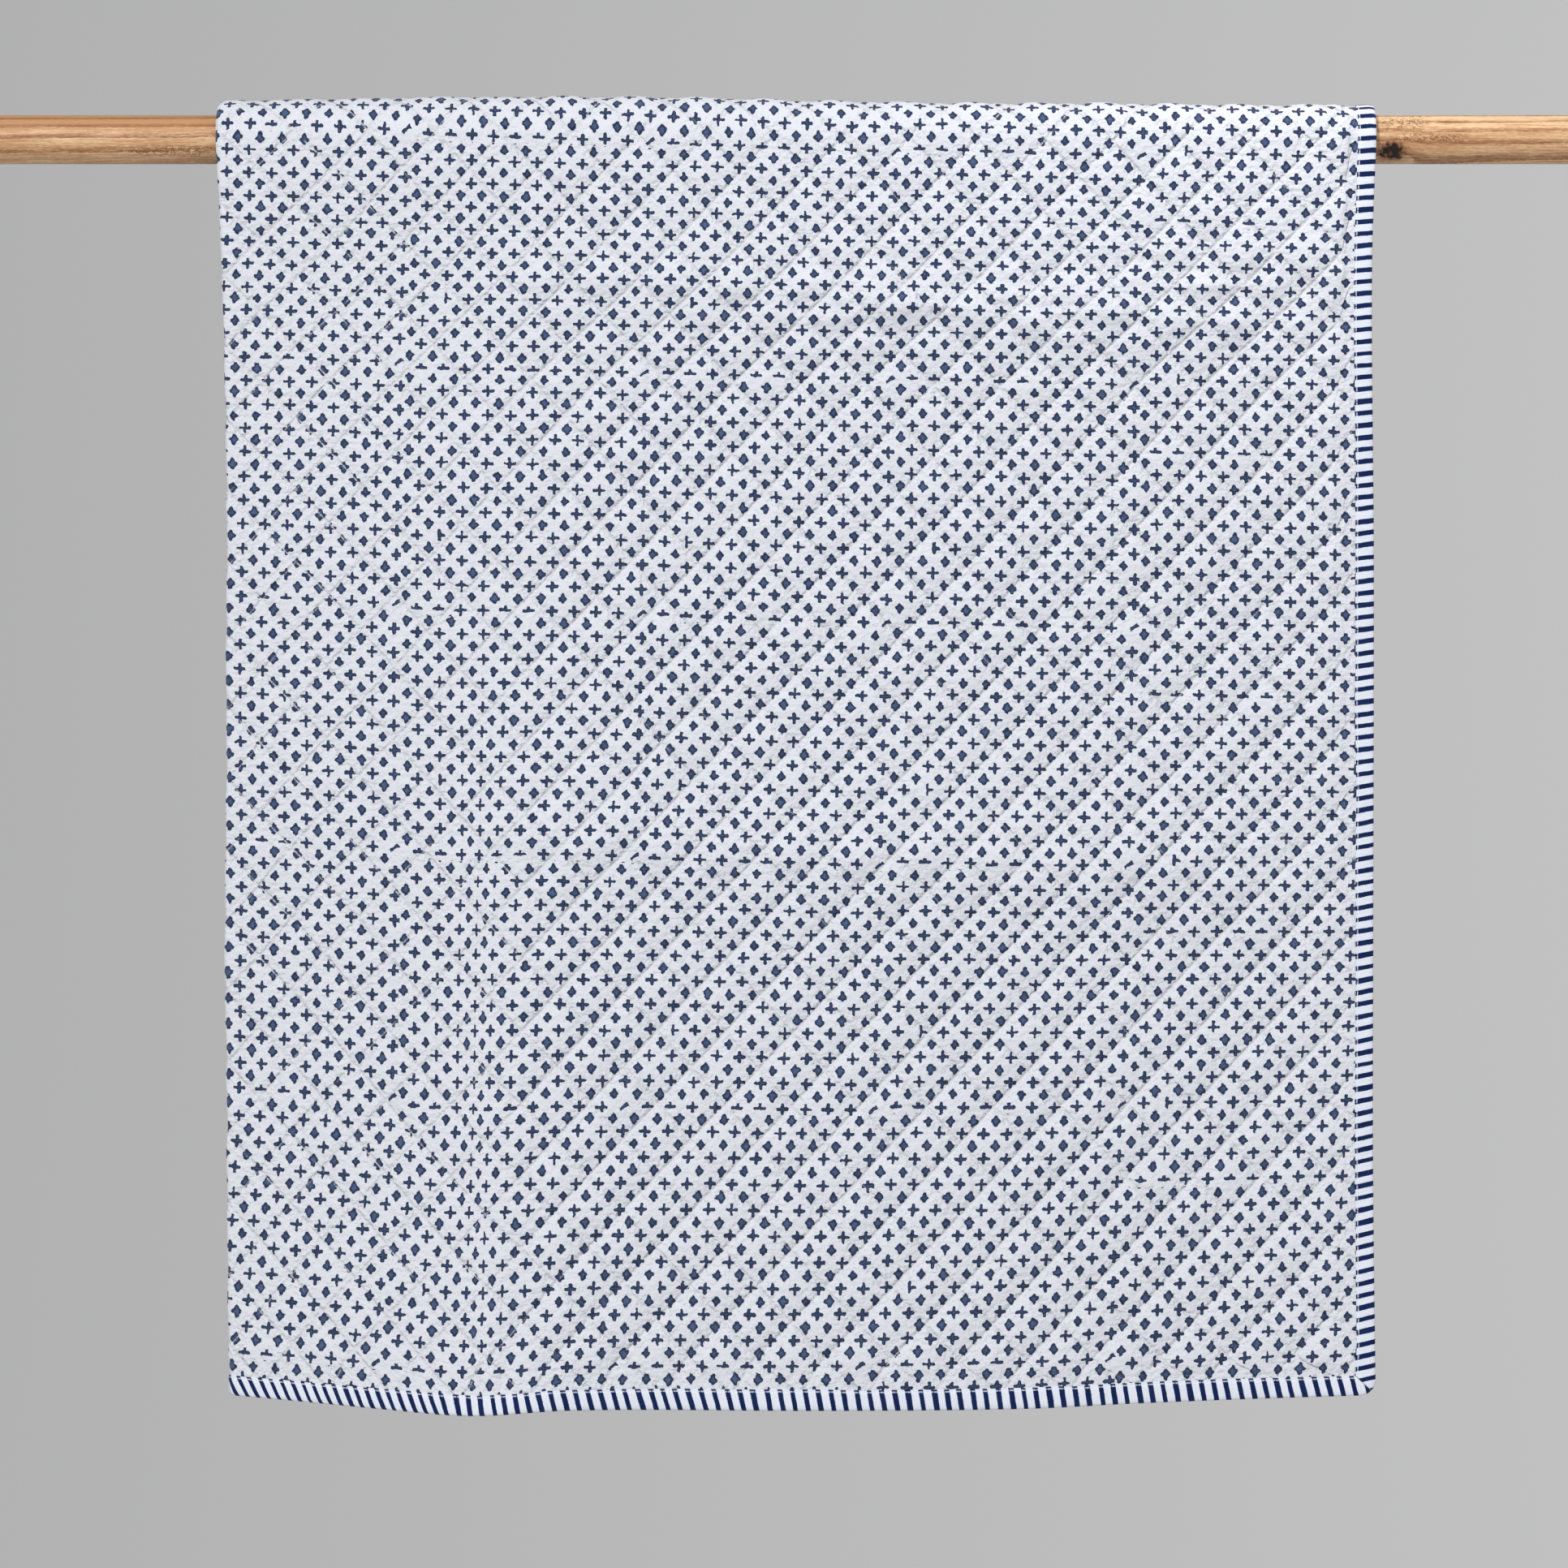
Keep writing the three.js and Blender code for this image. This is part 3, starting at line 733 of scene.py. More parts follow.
# Half the binding's section, lip to edge: distance in from the edge, and lift off the cloth's middle
SECTION_HALF = [
    (BINDING_WIDTH, BINDING_LIFT - 0.25),
    (BINDING_WIDTH * 0.93, BINDING_LIFT - 0.02),
    (BINDING_WIDTH * 0.8, BINDING_LIFT + 0.12),
    (BINDING_WIDTH * 0.55, BINDING_LIFT + 0.25),
    (BINDING_WIDTH * 0.3, BINDING_LIFT + 0.25),
    (BINDING_WIDTH * 0.13, BINDING_LIFT + 0.08),
    (BINDING_WIDTH * 0.05, BINDING_LIFT * 0.75),
    (BINDING_WIDTH * 0.012, BINDING_LIFT * 0.4),
    (0.0, 0.0),
]
SECTION_OUTSIDE = SECTION_HALF + [(inset, -lift) for inset, lift in SECTION_HALF[-2::-1]]
INNER_WALL = 0.9 * BINDING_WALL

# Puckers of the binding along and across it, and strays of its lip
PUCKERS = table(NOISE, (6.5, 1 / 1.5, 0.16, 0), (17, 1, 0.12, 1))
LIP_STRAYS = table(NOISE, (45, 1, 0.35, 2), (12, 1, 0.2, 3))
PUCKER_RISE = 4.0
PUCKER_FALL = 0.8
PRESSED_PUCKER = -0.1
LOWEST_PUCKER = -0.18

# A binding's bake map: its run in rows, each with the outside wide and the inside narrow
BAKE_ROWS = 7
BAKE_OUTSIDE = 0.75
BAKE_INSIDE = 0.2
BAKE_HEIGHT = 0.95
ROW_MARGIN = 0.02


# The section one wall further in, from the back lip to the front lip
def inner_section():
    points = np.array(SECTION_OUTSIDE)
    runs = np.gradient(points, axis=0)
    inwards = unit(np.stack([-runs[:, 1], runs[:, 0]], 1))
    return (points + inwards * INNER_WALL)[::-1]


# Stations of a binding run, on the cloth's outline and on the binding's inner edge
def binding_stations(length):
    edges, lips = [], []
    for share in np.linspace(0, 1, CORNER_STEPS + 1):
        angle = math.pi / 4 * (1 + share)
        run = CORNER_RADIUS * (1 - math.cos(angle)) + PIECE_GAP / 2
        edges.append((run, CORNER_RADIUS * (1 - math.sin(angle))))
        lips.append((BINDING_WIDTH + PIECE_GAP / 2 + share * HALF_THICKNESS, BINDING_WIDTH))
    clear = BINDING_WIDTH + CORNER_RADIUS / 2
    plain = np.linspace(clear, length - clear, round((length - 2 * clear) / BINDING_STEP))
    lines = []
    for near, inset in ((np.array(edges), 0), (np.array(lips), BINDING_WIDTH)):
        middle = np.stack([plain, np.full(len(plain), inset)], 1)
        far = near[::-1] * (-1, 1) + (length, 0)
        lines.append(np.concatenate([near, middle, far]))
    return lines


# Lift of the section at each station, puckered, but pressed where it lies on the rod
def binding_lift(section, middle, flat_place, seed):
    share = section[None, :, 0] / BINDING_WIDTH
    pucker = uneven(PUCKERS, middle, share, seed)
    across, along = flat_place(middle, 0 * middle)
    on_rod = (across > FOLD_END) & (split_along(along)[2] < ROD_RADIUS)
    pucker = np.maximum(np.where(on_rod, PRESSED_PUCKER, pucker), LOWEST_PUCKER)
    stretch = 1 + pucker * np.clip(PUCKER_RISE * share * (1 - PUCKER_FALL * share), 0, 1)
    walls = len(SECTION_OUTSIDE)
    stretch[:, walls:] = np.maximum(stretch[:, walls:], 1)
    return section[None, :, 1] * stretch


# Bake places of a binding
def binding_bake(run, around, half, length, faces):
    row_length = length / BAKE_ROWS
    row = np.clip(np.floor(run[faces].mean(1) / row_length), 0, BAKE_ROWS - 1)[:, None]
    u = (run[faces] - row * row_length) / row_length
    turn = around[faces].astype(float)
    wraps = (turn.max(1) - turn.min(1)) > half
    turn = np.where(wraps[:, None] & (turn < half), turn + 2 * half, turn)
    v = np.where(turn < half, turn / half * BAKE_OUTSIDE, BAKE_OUTSIDE + (turn - half) / half * BAKE_INSIDE)
    return np.stack([off_edges(u, ROW_MARGIN), (row + ROW_MARGIN + BAKE_HEIGHT * v) / BAKE_ROWS], -1)


def make_binding(name, length, flat_place, lean_table, width, seed):
    edges, lips = binding_stations(length)
    section = np.concatenate([np.array(SECTION_OUTSIDE), inner_section()])
    share = section[None, :, 0] / BINDING_WIDTH
    place = lerp(edges[:, None], lips[:, None], share[..., None])
    run, inset = place[..., 0], place[..., 1]
    middle = lips[:, :1]
    stray = uneven(LIP_STRAYS, middle, 0 * middle, seed)
    ends = smoothstep(np.minimum(middle, length - middle), BINDING_WIDTH, 3 * BINDING_WIDTH)
    deeper = inset * lerp(1, width / BINDING_WIDTH, ends) + stray * ends * share
    lift = binding_lift(section, middle, flat_place, seed)
    points = hang(*flat_place(run, deeper), lift).reshape(-1, 3)

    stations, around = run.shape
    index, body = tube(stations, around)
    half = around // 2
    caps = []
    for line, order in ((index[0], 1), (index[-1], -1)):
        a, b = line[:half], line[half:][::-1]
        caps.append(strip(a, b, np.arange(half), np.arange(half))[:, ::order])
    faces = np.concatenate([body, *caps])

    side = np.where(section[:, 1] < -1e-9, -1, 1)
    flat_run, flat_inset = run.reshape(-1), inset.reshape(-1)
    lean, crowd = read_table(lean_table, flat_run)
    leaning = flat_run + crowd + lean * flat_inset
    cloth = np.stack([leaning, (inset * side).reshape(-1)], 1) * MM
    turns = np.tile(np.arange(around), stations)
    maps = {"cloth": cloth[faces], "OFBake": binding_bake(flat_run, turns, half, length, faces)}
    return make_mesh(name, points, faces, maps)


# The rod's bake map: its side, and above that the discs of its two ends
ROD_BAKE_TALL = 0.78
DISC_BAKE = 0.09
DISC_PLACES = [(0.15, 0.9), (0.45, 0.9)]
CHAMFER_BEND = 0.3


def make_rod():
    half = ROD_LENGTH / 2
    bend = CHAMFER_BEND * ROD_CHAMFER
    profile = [(-half, ROD_RADIUS - ROD_CHAMFER), (-half + bend, ROD_RADIUS - bend)]
    profile += [(x, ROD_RADIUS) for x in np.linspace(-half + ROD_CHAMFER, half - ROD_CHAMFER, ROD_SLICES)]
    profile += [(-x, radius) for x, radius in profile[1::-1]]
    points = np.concatenate([turned_points(profile, ROD_SIDES), [[-half, 0, 0], [half, 0, 0]]])
    index, side = tube(len(profile), ROD_SIDES)
    first, last = index[0], index[-1]
    ends = []
    for ring, following, hub in (
        (first, np.roll(first, -1), len(points) - 2),
        (np.roll(last, -1), last, len(points) - 1),
    ):
        ends.append(np.stack([ring, following, np.full(ROD_SIDES, hub)], 1))
    faces = np.concatenate([side, *ends])

    turn = np.concatenate([np.tile(np.arange(ROD_SIDES), len(profile)), [0, 0]]) / ROD_SIDES
    u = points[faces, 0] / ROD_LENGTH + 0.5
    v = turn[faces]
    v = np.where((v.max(1) - v.min(1) > 0.5)[:, None] & (v < 0.5), v + 1, v)
    bake = np.stack([off_edges(u), BAKE_MARGIN + ROD_BAKE_TALL * v], -1)
    disc = points[faces[len(side) :]][..., 1:] / ROD_RADIUS * DISC_BAKE
    bake[len(side) :] = np.repeat(DISC_PLACES, ROD_SIDES, axis=0)[:, None] + disc
    rod = make_mesh("pine_rod", points, faces, {"OFBake": bake})
    for polygon in rod.data.polygons[len(side) :]:
        polygon.use_smooth = False
    return rod


# Joins a value to an input: another node's output, or a plain number or colour
def feed(tree, slot, value):
    if isinstance(value, Wire):
        tree.links.new(value.socket, slot)
    elif isinstance(value, bpy.types.NodeSocket):
        tree.links.new(value, slot)
    else:
        slot.default_value = value


# A number in a node tree. Arithmetic on it adds math nodes.
class Wire:
    def __init__(self, tree, socket):
        self.tree = tree
        self.socket = socket

    def math(self, operation, *others):
        node = self.tree.nodes.new("ShaderNodeMath")
        node.operation = operation
        for slot, value in zip(node.inputs, (self, *others)):
            feed(self.tree, slot, value)
        return Wire(self.tree, node.outputs[0])

    __add__ = __radd__ = partialmethod(math, "ADD")
    __mul__ = __rmul__ = partialmethod(math, "MULTIPLY")
    __sub__ = partialmethod(math, "SUBTRACT")
    __truediv__ = partialmethod(math, "DIVIDE")
    floor = partialmethod(math, "FLOOR")
    round = partialmethod(math, "ROUND")
    fract = partialmethod(math, "FRACT")
    abs = partialmethod(math, "ABSOLUTE")
    power = partialmethod(math, "POWER")
    least = partialmethod(math, "MINIMUM")
    most = partialmethod(math, "MAXIMUM")
    over = partialmethod(math, "GREATER_THAN")
    under = partialmethod(math, "LESS_THAN")

    def __rsub__(self, other):
        return self.math("MULTIPLY_ADD", -1.0, other)

    def near(self, other, within=0.25):
        return self.math("COMPARE", other, within)

    # From 0 at low to 1 at high, smoothly
    def ramp(self, low, high):
        node = self.tree.nodes.new("ShaderNodeMapRange")
        node.interpolation_type = "SMOOTHSTEP"
        feed(self.tree, node.inputs["Value"], self)
        node.inputs["From Min"].default_value = low
        node.inputs["From Max"].default_value = high
        return Wire(self.tree, node.outputs["Result"])


# The three numbers of a vector
def split_vector(tree, socket):
    node = tree.nodes.new("ShaderNodeSeparateXYZ")
    tree.links.new(socket, node.inputs[0])
    return [Wire(tree, output) for output in node.outputs]


def vector(tree, x, y, z=0.0):
    node = tree.nodes.new("ShaderNodeCombineXYZ")
    for slot, value in zip(node.inputs, (x, y, z)):
        feed(tree, slot, value)
    return node.outputs[0]


def wires_of_map(tree, name):
    node = tree.nodes.new("ShaderNodeUVMap")
    node.uv_map = name
    return split_vector(tree, node.outputs["UV"])[:2]


# Place on the object itself, in metres
def object_place(tree):
    return split_vector(tree, tree.nodes.new("ShaderNodeTexCoord").outputs["Object"])


def noise_node(tree, place, scale, detail):
    node = tree.nodes.new("ShaderNodeTexNoise")
    tree.links.new(place, node.inputs["Vector"])
    node.inputs["Scale"].default_value = scale
    node.inputs["Detail"].default_value = detail
    return node


# Smooth noises about zero by their names, each as fine and as strong as its row says
def make_noises(tree, rows, x, y, z=0.0):
    noises = {}
    for row in rows:
        place = vector(tree, x * row["along"], y * row["across"], z * row["across"])
        share = Wire(tree, noise_node(tree, place, 1.0, row["detail"]).outputs["Fac"])
        noises[row["name"]] = (share - 0.5) * row["reach"]
    return noises


# Two smooth noises about zero that don't follow each other
def noise_pair(tree, place, scale):
    node = noise_node(tree, place, scale, 1.0)
    return [share - 0.5 for share in split_vector(tree, node.outputs["Color"])[:2]]


# Three random numbers about zero for a whole-number place, from -0.5 to 0.5
def chance(tree, x, y, z=0.0):
    node = tree.nodes.new("ShaderNodeTexWhiteNoise")
    node.noise_dimensions = "3D"
    tree.links.new(vector(tree, x, y, z), node.inputs["Vector"])
    return [share - 0.5 for share in split_vector(tree, node.outputs["Color"])]


# A mix of two colours. The colour sockets of the node are only known by their number.
def blend(tree, share, first, second):
    node = tree.nodes.new("ShaderNodeMix")
    node.data_type = "RGBA"
    for number, value in ((0, share), (6, first), (7, second)):
        feed(tree, node.inputs[number], value)
    return node.outputs[2]


# A colour as it looks, from 0 to 255, made linear
def colour(red, green, blue):
    shares = np.array([red, green, blue]) / 255
    linear = np.where(shares <= 0.04045, shares / 12.92, ((shares + 0.055) / 1.055) ** 2.4)
    return (*linear.tolist(), 1.0)


def new_material(name, roughness, specular, sheen=0.0):
    material = bpy.data.materials.new(name)
    material.use_nodes = True
    tree = material.node_tree
    shader = tree.nodes["Principled BSDF"]
    shader.inputs["Roughness"].default_value = roughness
    shader.inputs["Specular IOR Level"].default_value = specular
    shader.inputs["Sheen Weight"].default_value = sheen
    return material, tree, shader


# Height is in millimetres
def add_bump(tree, shader, height):
    node = tree.nodes.new("ShaderNodeBump")
    node.inputs["Strength"].default_value = 1.0
    node.inputs["Distance"].default_value = MM
    feed(tree, node.inputs["Height"], height)
    tree.links.new(node.outputs["Normal"], shader.inputs["Normal"])


# Colours of the cloth
COTTON_WHITE = colour(230, 233, 239)
COTTON_SHADE = colour(220, 223, 232)
INK_RIM = colour(36, 48, 77)
INK_FILL = colour(80, 99, 136)
THREAD_WHITE = colour(218, 219, 224)
STRIPE_WHITE = colour(234, 239, 249)
STRIPE_SHADE = colour(225, 230, 243)
STRIPE_INK = colour(8, 31, 79)
STRIPE_FADED = colour(32, 54, 104)

# Printed crosses, in millimetres
ARM_WIDE = 3.25
ARM_TALL = 3.1
ARM_HALF = 0.83
ARM_FILLET = 0.9
ARM_CUT = 0.7
ARM_CUT_WIDE = 0.2
ARM_UNEVEN = 0.24
OUTSIDE = 9.0
# Columns whose lowest cross has lost its foot, and what is left of its upright
FOOTLESS = [0.0, 1.0, 4.0, 5.0]
FOOTLESS_MIDDLE = 0.8
FOOTLESS_HALF = 1.5
# One cross has lost an arm
ONE_ARMED = dict(column=1.0, row=3.0)
ONE_ARM_REACH = 0.4
# The last column is bold, and its lowest mark is a bent stroke
LAST_COLUMN = BLOCK_COLUMNS - 1.0
LAST_BOLD = 0.14
STROKE_LEAN = (0.8, 0.6)
STROKE_HALF_LENGTH = 2.5
STROKE_HALF_WIDTH = 0.75
STROKE_BEND = 0.09
STROKE_SHIFT = 0.3

# Printed diamonds, in millimetres
LOBE_TALL = (1.45, 2.95)
LOBE_WIDE = (2.55, 1.5)
LOBE_SHIFTS = (0.6, 0.5, 1.0)
LOBE_BLEND = 0.35
CORE_LEAN = (0.767, 0.642)
CORE_REACH = 1.1
BLOT_UNEVEN = 0.3

# How far the printed blocks and marks are off their places, and the fineness of their warps
BLOCK_SHAKE = 0.1
MARK_SHAKE = 0.5
PRINT_WARP = 0.9
PRINT_WARP_SCALE = 0.36
MARK_WARP = 1.25
MARK_WARP_SCALE = 0.42
SEEDS = dict(far=3.0, block=0.5, cut=0.25, ink=0.75, blot=1.25, shape=1.75)
# How far up single block columns are stamped, in rows, and how much of that is lost towards the hem
COLUMN_PHASES = table("column rows lost", (-2, 0.16, 0.0), (1, 0.13, 0.0), (2, -2.63, 0.5))
LOST_BELOW = 25.0
# Block columns further left than this are stamped at random heights
FAR_COLUMNS = -2.5
FAR_PHASE = 2.0

# Noises of the materials: how fine they are along and across, their detail and their reach
SURFACE = "name along across detail reach"
PRINT_NOISES = table(
    SURFACE,
    ("ragged", 0.9, 0.9, 1.0, 0.55),
    ("frayed", 2.4, 2.4, 1.0, 0.3),
    ("mottle", 1.2, 1.2, 2.0, 1.3),
    ("slub", 0.16, 0.16, 3.0, 0.9),
    ("fleck", 1.9, 1.9, 1.0, 0.9),
    ("patch", 0.05, 0.05, 1.0, 1.0),
    ("gathers", 0.3, 0.3, 2.0, 1.0),
    ("weave", 3.2, 3.2, 0.0, 0.08),
)
STRIPE_NOISES = table(
    SURFACE,
    ("sway", 0.06, 0.015, 1.0, 2.4),
    ("shake", 0.2, 0.2, 1.0, 0.5),
    ("ragged", 1.3, 1.3, 2.0, 0.4),
    ("wear", 0.8, 0.8, 3.0, 1.0),
    ("slub", 0.3, 0.3, 3.0, 1.0),
    ("gathers", 0.45, 0.135, 2.0, 0.35),
    ("weave", 3.2, 3.2, 1.0, 0.06),
)
PINE_NOISES = table(
    SURFACE,
    ("bowed", 0.006, 0.03, 2.0, 3.2),
    ("frayed", 0.5, 0.35, 1.0, 1.0),
    ("fibre", 0.04, 0.85, 3.0, 1.0),
    ("patch", 0.008, 0.06, 1.0, 1.5),
    ("speck", 0.3, 1.1, 2.0, 1.0),
    ("cracks", 0.3, 0.55, 4.0, 1.0),
    ("knot", 0.35, 0.35, 3.0, 1.5),
)

# Ink: how soft its edge is, how far in its dark rim ends, and how light it is inside
INK_EDGE = 0.16
INK_RIM_ENDS = (-1.1, -0.3)
INK_LIGHT = 0.75
INK_STRENGTH = 0.5

# Cotton and thread
COTTON = dict(specular=0.15, sheen=0.12)
STITCH_LENGTH = 2.8
STITCH_SHARE = 0.85
THREAD_HALF = 0.36
THREAD_COVER = 0.7
THREAD_RAISED = (0.1, 0.2)
# How much the thread of each direction of line shows, beyond the left panel and on it: painted shade that
# follows how the light falls across the grooves
RISING_SHOWN = (1.0, 0.6)
FALLING_SHOWN = (0.4, 1.0)
# Where across the cloth the left panel begins, and how much more its thread is raised
LEFT_THREAD = (430.0, 455.0)
LEFT_RAISED = 0.13
GROOVE_REACH = 1.7
GROOVE_DEPTH = 0.5
GATHER_HEIGHT = 2.2
GATHER_LOSS = 1.2
GATHER_REACH = (0.5, 9.0)


# Distance to the edge of a bar with round ends, and of an oval
def bar(x, y, half_length, half_width):
    past = (x.abs() - (half_length - half_width)).most(0.0)
    return (past * past + y * y).power(0.5) - half_width


def oval(x, y, reach):
    return ((x * x) / reach[0] ** 2 + (y * y) / reach[1] ** 2).power(0.5) * min(reach) - min(reach)


def bent_stroke(x, y):
    run, rise = STROKE_LEAN
    along = (x * run + y * rise).abs() - STROKE_HALF_LENGTH
    off = (y * run - x * rise + (x * x) * STROKE_BEND - STROKE_SHIFT).abs() - STROKE_HALF_WIDTH
    return along.most(off)


# Place on the print in columns and rows, and the first column and row of the block that it lies in
def print_blocks(tree, flat):
    p, q = wires_of_map(tree, "print")
    block = ((p + BLOCK_EDGE) / BLOCK_COLUMNS).floor()
    phase = block.under(FAR_COLUMNS) * chance(tree, block, SEEDS["far"])[0] * FAR_PHASE
    for shift in COLUMN_PHASES:
        lost = (1 - q.ramp(-LOST_BELOW, LOST_BELOW)) * (2 * shift["lost"])
        phase = phase + block.near(shift["column"]) * (shift["rows"] - lost)
    q = q - phase
    tier = ((q + BLOCK_FOOT) / BLOCK_ROWS).floor()
    shake = chance(tree, block, tier, SEEDS["block"])
    warp = noise_pair(tree, flat, PRINT_WARP_SCALE)
    p = p + shake[0] * BLOCK_SHAKE + warp[0] * (PRINT_WARP / PRINT_COLUMN)
    q = q + shake[1] * BLOCK_SHAKE + warp[1] * (PRINT_WARP / PRINT_ROW)
    return p, q, block * BLOCK_COLUMNS, tier * BLOCK_ROWS


# Place beside the middle of a mark, in millimetres
def mark_place(p, q, i, j, shake, bent):
    x = (p - i) * PRINT_COLUMN + shake[0] * MARK_SHAKE + bent[0]
    y = (q - j) * PRINT_ROW + shake[1] * MARK_SHAKE + bent[1]
    return x, y


# Distance to the edge of the crosses, below zero inside, and how much ink each has
def crosses(tree, p, q, first_column, first_row, bent):
    i, j = p.round(), q.round()
    own_i, own_j = i - first_column, j - first_row
    cut = chance(tree, own_i, own_j, SEEDS["cut"])
    ink = chance(tree, i, j, SEEDS["ink"])
    x, y = mark_place(p, q, i, j, ink, bent)
    half = ARM_HALF + ink[2] * ARM_UNEVEN
    level = bar(x + cut[0] * ARM_CUT, y, ARM_WIDE, half)
    upright = bar(y + cut[1] * ARM_CUT, x, ARM_TALL, half + cut[2] * ARM_CUT_WIDE)
    lowest = own_j.near(0.0)
    footless = lowest * sum((own_i.near(n) for n in FOOTLESS[1:]), own_i.near(FOOTLESS[0]))
    upright = upright.most(((y - FOOTLESS_MIDDLE).abs() - FOOTLESS_HALF + OUTSIDE) * footless - OUTSIDE)
    one_armed = own_i.near(ONE_ARMED["column"]) * own_j.near(ONE_ARMED["row"])
    level = level.most((x * -1 - ONE_ARM_REACH + OUTSIDE) * one_armed - OUTSIDE)
    cross = level.math("SMOOTH_MIN", upright, ARM_FILLET)
    last = own_i.near(LAST_COLUMN)
    cross = cross + (bent_stroke(x, y) - cross) * (lowest * last)
    return cross - last * LAST_BOLD + own_i.under(-0.5) * OUTSIDE, ink[2]


# Distance to the edge of the diamonds, and how much ink each has
def diamonds(tree, p, q, first_column, first_row, bent):
    i, j = p.floor() + 0.5, q.floor() + 0.5
    own_i, own_j = i - first_column, j - first_row
    blot = chance(tree, i, j, SEEDS["blot"])
    shape = chance(tree, own_i, own_j, SEEDS["shape"])
    x, y = mark_place(p, q, i, j, blot, bent)
    tall = oval(x + shape[0] * LOBE_SHIFTS[0], y + shape[1] * LOBE_SHIFTS[1], LOBE_TALL)
    wide = oval(x, y + shape[2] * LOBE_SHIFTS[2], LOBE_WIDE)
    core = x.abs() * CORE_LEAN[0] + y.abs() * CORE_LEAN[1] - CORE_REACH
    lobes = tall.math("SMOOTH_MIN", wide, LOBE_BLEND)
    diamond = lobes.math("SMOOTH_MIN", core, LOBE_BLEND) + blot[2] * BLOT_UNEVEN
    return diamond + own_i.over(LAST_COLUMN) * OUTSIDE, blot[2]


# Distance to the edge of the nearest mark, without ragged edges, and how much ink it has
def print_marks(tree, flat):
    place = print_blocks(tree, flat)
    bent = [wave * MARK_WARP for wave in noise_pair(tree, flat, MARK_WARP_SCALE)]
    cross, cross_ink = crosses(tree, *place, bent)
    diamond, diamond_ink = diamonds(tree, *place, bent)
    strength = cross_ink * cross.under(diamond) + diamond_ink * diamond.under(cross)
    return cross.least(diamond), strength


# Distance to the nearest stitch line in millimetres, and how far a stitch stands out there.
# The lines that run down to the right stand out on the left panel, and the others beyond it: painted shade
# that follows how the light falls across the grooves.
def stitch_lines(tree, left):
    a, b = wires_of_map(tree, "quilt")
    side = math.hypot(DIAMOND_WIDTH, DIAMOND_HEIGHT) / 2
    spacing = DIAMOND_WIDTH * DIAMOND_HEIGHT / (2 * side)
    rising, falling = a + b, a - b
    shown = [lerp(beyond, on_left, left) for beyond, on_left in (RISING_SHOWN, FALLING_SHOWN)]
    distances, threads = [], []
    for across_lines, on_lines, share in ((rising, falling, shown[0]), (falling, rising, shown[1])):
        off = ((across_lines + 0.5).fract() - 0.5).abs() * spacing
        step = (on_lines * side / STITCH_LENGTH).fract()
        distances.append(off)
        threads.append(step.under(STITCH_SHARE) * off.under(THREAD_HALF) * share)
    return distances[0].least(distances[1]), threads[0].most(threads[1])


def printed_cotton():
    material, tree, shader = new_material("printed_cotton", roughness=0.9, **COTTON)
    across, along = (place * PER_METRE for place in wires_of_map(tree, "cloth"))
    noises = make_noises(tree, PRINT_NOISES, across, along)
    attribute = tree.nodes.new("ShaderNodeAttribute")
    attribute.attribute_name = "printed"
    is_printed = Wire(tree, attribute.outputs["Fac"])
    mark, strength = print_marks(tree, vector(tree, across, along))
    edge = mark + (noises["ragged"] + noises["frayed"])
    cover = 1 - edge.ramp(-INK_EDGE, INK_EDGE)
    lightness = (1 - edge.ramp(*INK_RIM_ENDS)) * (INK_LIGHT + noises["mottle"] - strength * INK_STRENGTH)
    ink = blend(tree, lightness, INK_RIM, INK_FILL)
    cotton = blend(tree, 0.5 + (noises["slub"] + noises["fleck"]), COTTON_WHITE, COTTON_SHADE)

    left = across.ramp(*LEFT_THREAD)
    distance, thread = stitch_lines(tree, left)
    raised = (noises["patch"] + left * LEFT_RAISED).ramp(*THREAD_RAISED)
    shown = cover * is_printed * (1 - thread * raised * THREAD_COVER)
    sewn = blend(tree, thread * THREAD_COVER, cotton, THREAD_WHITE)
    tree.links.new(blend(tree, shown, sewn, ink), shader.inputs["Base Color"])

    gathers = noises["gathers"] * (GATHER_HEIGHT - distance.ramp(*GATHER_REACH) * GATHER_LOSS)
    groove = (1 - distance.ramp(0.0, GROOVE_REACH)) * -GROOVE_DEPTH
    add_bump(tree, shader, gathers + noises["weave"] + groove)
    return material


# Stripes of the binding, in millimetres: how uneven they are, and how they wear
STRIPE_PITCH = 6.65
STRIPE_HALF = 1.4
STRIPE_UNEVEN = 0.3
STRIPE_SHIFT = 0.35
WEAR_BASE = 0.2
WEAR_UNEVEN = 0.4
WEAR_ENDS = (0.1, 0.8)
WEAR_MOST = 0.6
TOPSTITCH_INSET = 9.4
TOPSTITCH_COVER = 0.6
SEAM_PULL = 0.2
SEAM_REACH = 1.0


